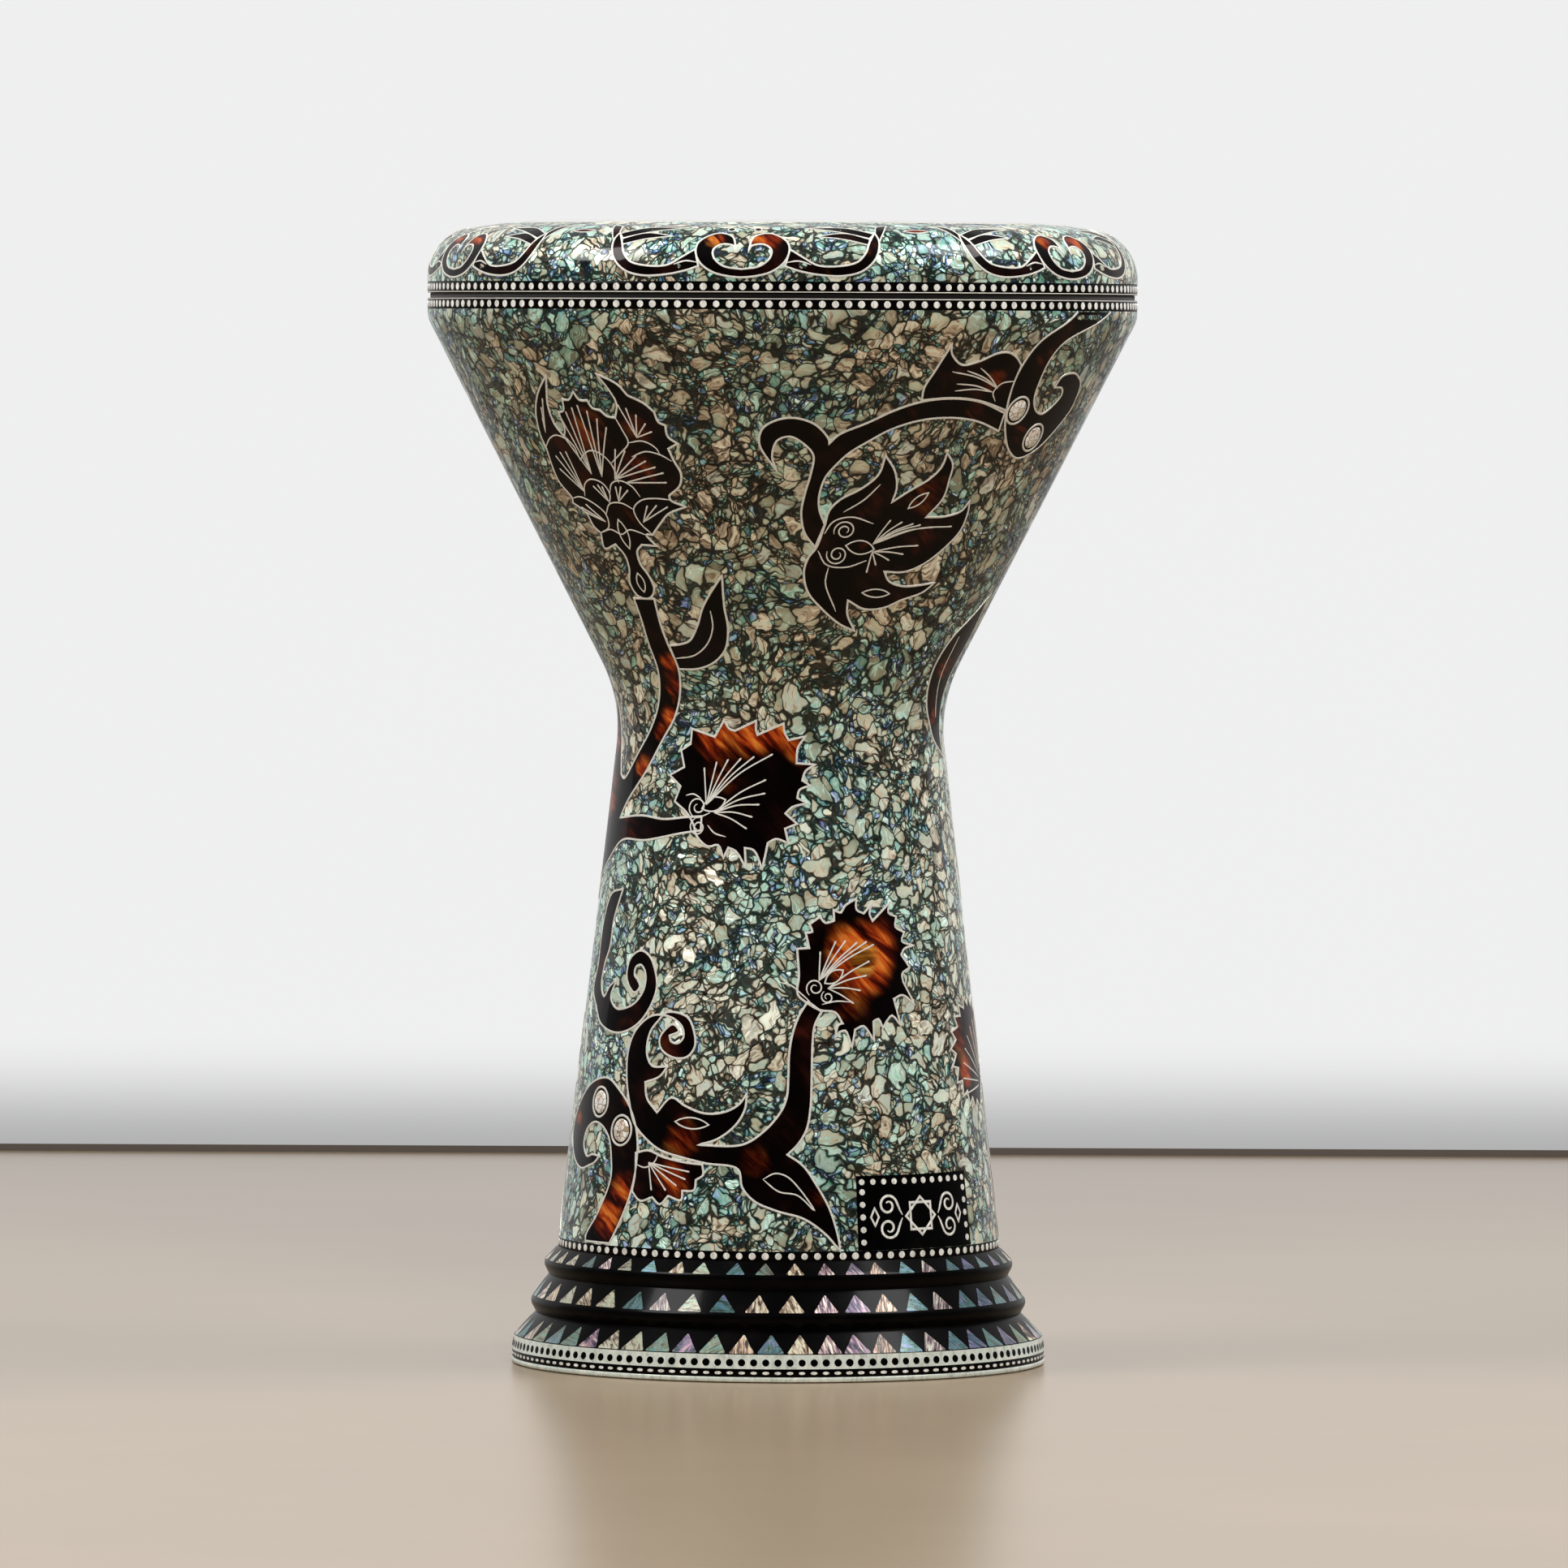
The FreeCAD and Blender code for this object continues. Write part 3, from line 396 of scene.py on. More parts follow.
def pearl(name, stops, line_mm, contrast=(0.85, 1.08), coat=0.6, tilt=None):
    """Mother of pearl, sawn and polished: soft bands of growth lines that shift between pale tints.

    With a tilt, the mark "piece" picks each piece's tint, the run of its lines and the way it leans.
    """
    nodes = Finish(
        name, metallic=0.2, roughness=0.3, specular_ior_level=0.2, coat_weight=coat, coat_roughness=0.1
    )
    run = nodes.millimetres()
    if tilt is not None:
        lots = nodes.add("ShaderNodeTexWhiteNoise", {"W": nodes.mark("piece")}, noise_dimensions="1D").outputs
        run = nodes.rotated(run, lots["Color"], nodes.maths("MULTIPLY", lots["Value"], 6.28))
    lines = nodes.noise(nodes.vector("MULTIPLY", run, (1 / line_mm, 0.12, 0.2)), 1.0, 4.0, Distortion=0.8)
    share = lines
    if tilt is not None:
        own = nodes.maths("MULTIPLY_ADD", lots["Value"], 0.9, -0.35)
        share = nodes.maths("MULTIPLY_ADD", lines, 0.8, own)
    tone = nodes.ramp(share, *stops)
    lit = nodes.vector("SCALE", tone, Scale=nodes.ranged(lines, 0.38, 0.62, *contrast))
    return nodes.done(lit, None if tilt is None else nodes.leaning(lots["Color"], tilt))


def crackled_pearl():
    """Crazed mother of pearl: white, blush and straw chips a millimetre or two wide, with dark cracks."""
    nodes = Finish(
        "mother_of_pearl_crackled", metallic=0.15, roughness=0.25, coat_weight=0.8, coat_roughness=0.06
    )
    place = nodes.millimetres()
    wave = nodes.noise(place, 0.5, 1.0, "Color")
    cell = {"Vector": nodes.vector("MULTIPLY_ADD", wave, (1.4, 1.4, 1.4), place), "Scale": 1 / 2.2}
    lot = nodes.add("ShaderNodeTexVoronoi", cell).outputs["Color"]
    edge = nodes.add("ShaderNodeTexVoronoi", cell, feature="DISTANCE_TO_EDGE").outputs["Distance"]
    tone = nodes.ramp(
        nodes.parts(lot)[0], (0.0, "a8916c"), (0.12, "ded4b8"), (0.3, "f6f5ee"), (0.6, "efe8df"),
        (0.8, "e2c9b6"), (0.92, "f8f7f2"),
    )
    return nodes.done(nodes.blend(nodes.ranged(edge, 0.0, 0.09, 0.0, 1.0), colour("6a563c"), tone))


def felt():
    """Black felt, die cut: matt, with a fuzz of short fibres."""
    nodes = Finish("felt_black_cut", roughness=0.95, sheen_weight=0.3)
    fuzz = nodes.noise(nodes.millimetres(), 1.6, 6.0)
    tone = nodes.ramp(fuzz, (0.35, "0a0a0a"), (0.7, "1a1a19"))
    return nodes.done(tone, nodes.dents(0.8, 0.2, fuzz))


def clouded(name, cloud, grain, stops, dents, **sockets):
    """A finish whose colour follows a cloud and whose dents follow a finer grain, each (scale, detail)."""
    nodes = Finish(name, **sockets)
    place = nodes.millimetres()
    tone = nodes.ramp(nodes.noise(place, *cloud), *stops)
    return nodes.done(tone, nodes.dents(*dents, nodes.noise(place, *grain)))


def cast_resin():
    """Epoxy poured round the film in its hoop: cloudy amber grey, with small bubbles."""
    nodes = Finish("epoxy_resin_poured", roughness=0.3)
    cell = {"Vector": nodes.millimetres(), "Scale": 0.7}
    bubble = nodes.add("ShaderNodeTexVoronoi", cell).outputs["Distance"]
    return nodes.done(nodes.ramp(bubble, (0.1, "8d8468"), (0.5, "6f6a58")))


ABALONE = abalone_chips()
TORTOISESHELL = tortoiseshell()
TIN = worked_metal("tin_wire_drawn", "e2dfd6", 0.45, 1.2, 0.03, spread=0.06, metallic=0.25)
# Black lacquer, sprayed and polished: deep black with soft-edged lights and the faintest orange peel.
LACQUER = clouded(
    "black_lacquer_polished", (0.09, 5.0), (0.55, 1.0),
    [(0.35, "020202"), (0.6, "050404"), (0.75, "0a0807")], (0.25, 0.05),
    roughness=0.3, specular_ior_level=0.02, coat_weight=0.08, coat_roughness=0.1,
)
PEARL = pearl(
    "mother_of_pearl_polished",
    [(0.3, "c8ccbf"), (0.45, "dadfd3"), (0.55, "cfd8cd"), (0.65, "dcdacd"), (0.8, "e6e8de")],
    line_mm=2.2, coat=0.4,
)
DOTS = pearl(
    "pearl_discs_turned",
    [(0.2, "d6d4ca"), (0.5, "eceae2"), (0.8, "f6f5f0")],
    line_mm=1.0, coat=0.4,
)
SHELL_PIECES = pearl(
    "sawn_shell_polished",
    [(0.0, "5c4a40"), (0.12, "b08c74"), (0.25, "c2bca4"), (0.37, "828c74"), (0.5, "4a7a70"), (0.62, "3a6070"),
     (0.72, "6a5880"), (0.84, "9c7c80"), (1.0, "bcc0ac")],
    line_mm=0.9, contrast=(0.12, 1.5), coat=0.25, tilt=0.35,
)
CABOCHON = crackled_pearl()
CASTING = worked_metal("aluminium_sand_cast", "a8a9a8", 0.5, 1.6, 0.12)
SPUN = worked_metal("aluminium_spun", "c4c5c6", 0.3, 0.8, 0.01)
STEEL = worked_metal("steel_zinc_plated", "b4b6ba", 0.28, 0.6, 0.01)
# Polyester film with a sprayed, frosted coat: off white, matt, finely pebbled.
FILM = clouded(
    "polyester_film_frosted", (0.02, 4.0), (1.4, 3.0), [(0.3, "aeaca5"), (0.7, "bebcb5")], (0.4, 0.04),
    roughness=0.6, specular_ior_level=0.3,
)
RESIN = cast_resin()
GASKET = felt()

# ---------------------------------------------------------------- making pieces


def finish_piece(piece, body, slot, *stands_for):
    """Says which body a piece rides on and which CAD nodes it stands for. The slot is not used."""
    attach(piece, body)
    if stands_for:
        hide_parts(*stands_for)
    return piece


def placed(name, data):
    """A new object of this mesh, light or camera, in the scene."""
    made = bpy.data.objects.new(name, data)
    bpy.context.scene.collection.objects.link(made)
    return made


def coat(mesh, material):
    """Gives the whole mesh this one material."""
    mesh.materials.clear()
    mesh.materials.append(material)


def new_piece(name, mesh, material, smooth=None):
    """A piece of this mesh, shaded smooth where its faces meet at less than the smooth angle, in degrees."""
    if smooth is not None:
        mesh.shade_smooth()
        mesh.set_sharp_from_angle(angle=math.radians(smooth))
    coat(mesh, material)
    return placed(name, mesh)


FACE_SHARE, BACK_START = 0.9, 0.92  # how much of the bake's map a face fills, and where its back starts


def turn(name, loop, material, segments=360, outside=None, smooth=40):
    """A piece turned from a closed outline of (radius, height) points, anticlockwise, or from axis to axis.

    The bake's map gives nine tenths of its height to the first points, up to the one that outside says.
    """
    loop = np.asarray(loop, float)
    solid_core = loop[0][0] < 1e-6 and loop[-1][0] < 1e-6
    rings = list(range(1, len(loop) - 1)) if solid_core else list(range(len(loop)))
    azimuths = np.arange(segments) * 2 * math.pi / segments
    points = [
        (loop[j][0] * MM * math.sin(a), -loop[j][0] * MM * math.cos(a), loop[j][1] * MM)
        for j in rings
        for a in azimuths
    ]
    steps = np.linalg.norm(np.diff(np.vstack([loop, loop[:1]]), axis=0), axis=1)
    along = np.concatenate([[0], np.cumsum(steps)])
    outside = outside or len(loop) - 1
    share = np.where(
        np.arange(len(along)) <= outside,
        FACE_SHARE * along / along[outside],
        BACK_START + (1 - BACK_START) * (along - along[outside]) / max(along[-1] - along[outside], 1e-9),
    )
    faces, places = [], []
    pairs = [(i, i + 1) for i in range(len(rings) - 1)]
    if not solid_core:
        pairs.append((len(rings) - 1, 0))
    for low, high in pairs:
        low_share = share[rings[low]]
        high_share = share[rings[high]] if high else share[len(loop)]
        if rings[low] == outside and not solid_core:
            low_share = BACK_START
        for i in range(segments):
            on = (i + 1) % segments
            a, b = low * segments, high * segments
            faces.append((a + i, a + on, b + on, b + i))
            left, right = i / segments, (i + 1) / segments
            places += [(left, low_share), (right, low_share), (right, high_share), (left, high_share)]
    if solid_core:
        for pole, ring, outwards in ((0, 0, True), (len(loop) - 1, len(rings) - 1, False)):
            points.append((0, 0, loop[pole][1] * MM))
            for i in range(segments):
                a, b = ring * segments + i, ring * segments + (i + 1) % segments
                faces.append((len(points) - 1, b, a) if outwards else (len(points) - 1, a, b))
                corner = [i / segments, (i + 1) / segments]
                top, own = share[pole], share[rings[ring]]
                order = [(corner[0], top), (corner[1], own), (corner[0], own)]
                places += order if outwards else [order[0], order[2], order[1]]
    mesh = bpy.data.meshes.new(name)
    mesh.from_pydata(points, [], faces)
    mesh.uv_layers.new(name=BAKE_MAP).data.foreach_set("uv", np.array(places, np.float32).ravel())
    return new_piece(name, mesh, material, smooth)


def skinned(name, line, material, step, **options):
    """A skin turned from its outer outline, with its inner wall, its edges square to the outline."""
    outer = rounded(line, step)
    slopes = np.gradient(outer, axis=0)
    normals = np.stack([slopes[:, 1], -slopes[:, 0]], axis=1)
    normals /= np.linalg.norm(normals, axis=1)[:, None]
    inner = (outer - normals * SKIN)[::-1]
    inner[:, 1] = np.clip(inner[:, 1], outer[:, 1].min(), outer[:, 1].max())
    return turn(name, np.vstack([outer, inner[::2], inner[-1:]]), material, outside=len(outer) - 1, **options)


def hoop(name, inner, outer, bottom, top, material, edge=0.25, segments=360):
    """A plain turned ring with small bevels on its outer edges."""
    loop = [
        (outer - edge, bottom), (outer, bottom + edge), (outer, top - edge), (outer - edge, top),
        (inner, top), (inner, bottom),
    ]
    return turn(name, loop, material, segments=segments, outside=3, smooth=60)


def smooth_copy(node, name, material, smooth=35):
    """A merged copy of a CAD node's mesh, with its curved faces shaded smooth."""
    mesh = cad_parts[node].data.copy()
    made = bmesh.new()
    made.from_mesh(mesh)
    bmesh.ops.remove_doubles(made, verts=made.verts, dist=1e-6)
    made.to_mesh(mesh)
    made.free()
    if mesh.has_custom_normals:
        for layer in [a for a in mesh.attributes if a.name == "custom_normal"]:
            mesh.attributes.remove(layer)
    return new_piece(name, mesh, material, smooth)


class Gathered:
    """Points, faces and a mark for each point, gathered for one piece."""

    def __init__(self):
        self.points, self.faces, self.marks = [], [], []

    def add(self, points, faces, marks=0.0):
        first = len(self.points)
        self.points += [tuple(p) for p in points]
        self.faces += [tuple(first + i for i in face) for face in faces]
        self.marks += list(np.broadcast_to(np.asarray(marks, float), len(points)))

    def piece(self, name, material, mark=None, smooth=50):
        mesh = bpy.data.meshes.new(name)
        mesh.from_pydata(self.points, [], self.faces)
        if mark:
            values = np.array(self.marks, np.float32)
            mesh.attributes.new(mark, "FLOAT", "POINT").data.foreach_set("value", values)
        return new_piece(name, mesh, material, smooth)


class Drawing:
    """A flat drawing wrapped on a skin: azimuth times a middle radius across, distance along the skin up."""

    def __init__(self, skin, height, start=0.0):
        self.skin, self.middle, self.start = skin, skin.radius(height), start

    def flat(self, azimuth, height):
        return np.array([math.radians(azimuth) * self.middle, float(self.skin.distance(height))])

    def line(self, spots, closed=False, step=1.5):
        """A smooth line through (azimuth, height) spots, turning sharply at those with a third number."""
        points = [self.flat(*spot[:2]) for spot in spots]
        sharp = [len(spot) > 2 for spot in spots]
        return smoothed(points, sharp, closed, step)

    def wrap(self, points, lift):
        points = np.asarray(points, float)
        turned = points[:, 0] / self.middle + math.radians(self.start)
        return self.skin.wrap(turned, points[:, 1], np.broadcast_to(lift, len(points)))


def smoothed(points, sharp, closed, step):
    """Points along a centripetal spline through flat points, which turns sharply at those marked."""
    points = [np.asarray(p, float) for p in points]
    if closed:
        turn_at = next((i for i, s in enumerate(sharp) if s), None)
        if turn_at is None:
            run = points + points[:1]
            ends = (points[-1], points[1])
            return spline(run, ends, step)[:-1]
        points = points[turn_at:] + points[:turn_at] + [points[turn_at]]
        sharp = sharp[turn_at:] + sharp[:turn_at] + [True]
    corners = [0] + [i for i in range(1, len(points) - 1) if sharp[i]] + [len(points) - 1]
    made = []
    for a, b in zip(corners, corners[1:]):
        run = points[a : b + 1]
        made += list(spline(run, (2 * run[0] - run[1], 2 * run[-1] - run[-2]), step)[:-1])
    return np.array(made if closed else made + [points[-1]])


def spline(run, ends, step):
    """A centripetal spline through a run of flat points, with a point beyond each end to steer by."""
    steered = [ends[0], *run, ends[1]]
    made = []
    for p0, p1, p2, p3 in zip(steered, steered[1:], steered[2:], steered[3:]):
        t = [0.0]
        for a, b in ((p0, p1), (p1, p2), (p2, p3)):
            t.append(t[-1] + max(np.linalg.norm(b - a), 1e-6) ** 0.5)
        pieces = max(1, math.ceil(np.linalg.norm(p2 - p1) / step))
        for k in range(pieces):
            u = t[1] + (t[2] - t[1]) * k / pieces
            a1 = (t[1] - u) / (t[1] - t[0]) * p0 + (u - t[0]) / (t[1] - t[0]) * p1
            a2 = (t[2] - u) / (t[2] - t[1]) * p1 + (u - t[1]) / (t[2] - t[1]) * p2
            a3 = (t[3] - u) / (t[3] - t[2]) * p2 + (u - t[2]) / (t[3] - t[2]) * p3
            b1 = (t[2] - u) / (t[2] - t[0]) * a1 + (u - t[0]) / (t[2] - t[0]) * a2
            b2 = (t[3] - u) / (t[3] - t[1]) * a2 + (u - t[1]) / (t[3] - t[1]) * a3
            made.append((t[2] - u) / (t[2] - t[1]) * b1 + (u - t[1]) / (t[2] - t[1]) * b2)
    made.append(run[-1])
    return np.array(made)


# How far plates and wires stand off the skin and reach into it, and how wide the wires are.
PLATE_PROUD, PLATE_DEPTH = 0.12, 0.3
WIRE_PROUD, WIRE_DEPTH = 0.26, 0.15
EDGE_WIRE, VEIN_WIRE = 1.05, 0.75
VEIN_STEP = 0.6  # how far apart the points of a vein are
LEAST_GAP = 0.25  # points of a wire's line that are nearer than this are one


def circle(centre, radius, sides):
    angles = np.arange(sides) * 2 * math.pi / sides
    return centre + radius * np.stack([np.cos(angles), np.sin(angles)], axis=1)


def inside(points, outline):
    """Which flat points are inside a closed flat outline."""
    x, y = points[:, 0][:, None], points[:, 1][:, None]
    ax, ay = outline.T
    bx, by = np.roll(outline, -1, axis=0).T
    crosses = (ay > y) != (by > y)
    with np.errstate(divide="ignore", invalid="ignore"):
        at = ax + (y - ay) / (by - ay) * (bx - ax)
    return (crosses & (x < at)).sum(axis=1) % 2 == 1


def lay_plate(gathered, drawing, outline, mark=0.0, proud=PLATE_PROUD, spacing=3.6):
    """A thin plate of this flat outline, wrapped on the skin: face, back and edge."""
    low, high = outline.min(axis=0), outline.max(axis=0)
    across = np.arange(low[0] + spacing / 2, high[0], spacing)
    up = np.arange(low[1] + spacing / 2, high[1], spacing)
    grid = np.array([(x + (k % 2) * spacing / 2, y) for k, y in enumerate(up) for x in across]).reshape(-1, 2)
    if len(grid):
        grid = grid[inside(grid, outline)]
    if len(grid):
        gap = np.linalg.norm(grid[:, None] - outline[None], axis=2).min(axis=1)
        grid = grid[gap > spacing * 0.45]
    flat = [Vector(p) for p in [*outline, *grid]]
    made = delaunay_2d_cdt(flat, [], [list(range(len(outline)))], 1, 1e-5)
    points, faces = np.array([tuple(p) for p in made[0]]), made[2]
    if not len(faces):
        return
    count = len(points)
    used = {}
    for face in faces:
        for a, b in zip(face, [*face[1:], face[0]]):
            used[(a, b)] = used.get((a, b), 0) + 1
    rim = [(a, b) for a, b in used if (b, a) not in used]
    top, _ = drawing.wrap(points, proud)
    back, _ = drawing.wrap(points, -PLATE_DEPTH)
    every = list(faces) + [[count + i for i in reversed(face)] for face in faces]
    every += [[b, a, count + a, count + b] for a, b in rim]
    marks = mark(points) if callable(mark) else np.full(count, mark)
    gathered.add(np.vstack([top, back]), every, np.tile(marks, 2))


def lay_wire(gathered, drawing, line, width, closed=False, proud=WIRE_PROUD, ends="thin"):
    """A half-round wire along a flat line, wrapped on the skin.

    An open one can have ends that are thin, or plain, or thin at its start with a bead at its end.
    """
    line = np.asarray(line, float)
    keep = [0]
    for i in range(1, len(line)):
        if np.linalg.norm(line[i] - line[keep[-1]]) > LEAST_GAP:
            keep.append(i)
    line = line[keep]
    if closed and np.linalg.norm(line[0] - line[-1]) < LEAST_GAP:
        line = line[:-1]
    if len(line) < 3:
        line = np.array([line[0], (line[0] + line[-1]) / 2, line[-1]])
        closed = False
    count = len(line)
    spots, normals = drawing.wrap(line, 0.0)
    ahead = np.roll(spots, -1, axis=0) - spots
    behind = spots - np.roll(spots, 1, axis=0)
    if not closed:
        ahead[-1], behind[0] = behind[-1], ahead[0]
    ahead /= np.linalg.norm(ahead, axis=1)[:, None]
    behind /= np.linalg.norm(behind, axis=1)[:, None]
    tangent = ahead + behind
    size = np.linalg.norm(tangent, axis=1)
    tangent = np.where(size[:, None] > 1e-3, tangent / np.maximum(size, 1e-9)[:, None], ahead)
    mitre = np.minimum(1.8, 2 / np.maximum(size, 0.5))
    side = np.cross(normals, tangent)
    side /= np.linalg.norm(side, axis=1)[:, None]
    half = np.full(count, width / 2)
    if ends != "plain" and not closed:
        length = np.concatenate([[0], np.cumsum(np.linalg.norm(np.diff(line, axis=0), axis=1))])
        left = length[-1] - length
        room = max(min(length[-1] * 0.3, 3.0), 1e-6)
        nearest = length if ends == "beaded" else np.minimum(length, left)
        half *= 0.45 + 0.55 * np.clip(nearest / room, 0, 1)
        if ends == "beaded":
            half *= np.where(left < 0.01, 0.6, 1 + 0.35 * np.exp(-(((left - 0.6) / 0.7) ** 2)))
    section = [(-1.0, -WIRE_DEPTH), (1.0, -WIRE_DEPTH), (0.72, proud * 0.72), (0.0, proud),
        (-0.72, proud * 0.72)]
    rows = [
        spots + side * (across * half * mitre * MM)[:, None] + normals * (up * MM) for across, up in section
    ]
    points = np.stack(rows, axis=1).reshape(-1, 3)
    sides = len(section)
    faces = []
    for i in range(count if closed else count - 1):
        on = (i + 1) % count
        for k in range(sides):
            k2 = (k + 1) % sides
            faces.append((i * sides + k, i * sides + k2, on * sides + k2, on * sides + k))
    if not closed:
        faces.append(tuple(range(sides - 1, -1, -1)))
        faces.append(tuple((count - 1) * sides + k for k in range(sides)))
    gathered.add(points, faces)


# ---------------------------------------------------------------- the vines' shapes


def spiral(azimuth, height, radius, turns, start, way=1, core=0.25):
    """A spiral in a drawing, from the outside in: its centre, outer radius, turns and first direction."""

    def drawn(drawing):
        centre = drawing.flat(azimuth, height)
        parts = np.linspace(0, 1, max(8, int(turns * 20)))
        size = radius * (1 - (1 - core) * parts)
        angle = math.radians(start) + way * parts * turns * 2 * math.pi
        return centre + np.stack([size * np.cos(angle), size * np.sin(angle)], axis=1)

    return drawn


def leaf_eye(start, end, width):
    """An almond between two spots, as a closed line in a drawing."""

    def drawn(drawing):
        a, b = drawing.flat(*start), drawing.flat(*end)
        along = b - a
        side = np.array([-along[1], along[0]]) / np.linalg.norm(along)
        parts = np.linspace(0, 1, 9)
        bulge = np.sin(parts * math.pi) ** 0.8 * width / 2
        there = a + along * parts[:, None] + side * bulge[:, None]
        back = (a + along * parts[:, None] - side * bulge[:, None])[::-1]
        return np.vstack([there[:-1], back[:-1]])

    drawn.closed = True
    return drawn


def fan(base, ends, bend=0.12):
    """Veins that spread from a base spot, each bending a little on its way to its end."""
    lines = []
    for end in ends:
        middle = [(base[k] + end[k]) / 2 for k in (0, 1)]
        middle[1] += bend * abs(end[0] - base[0])
        lines.append([base, tuple(middle), end])
    return lines


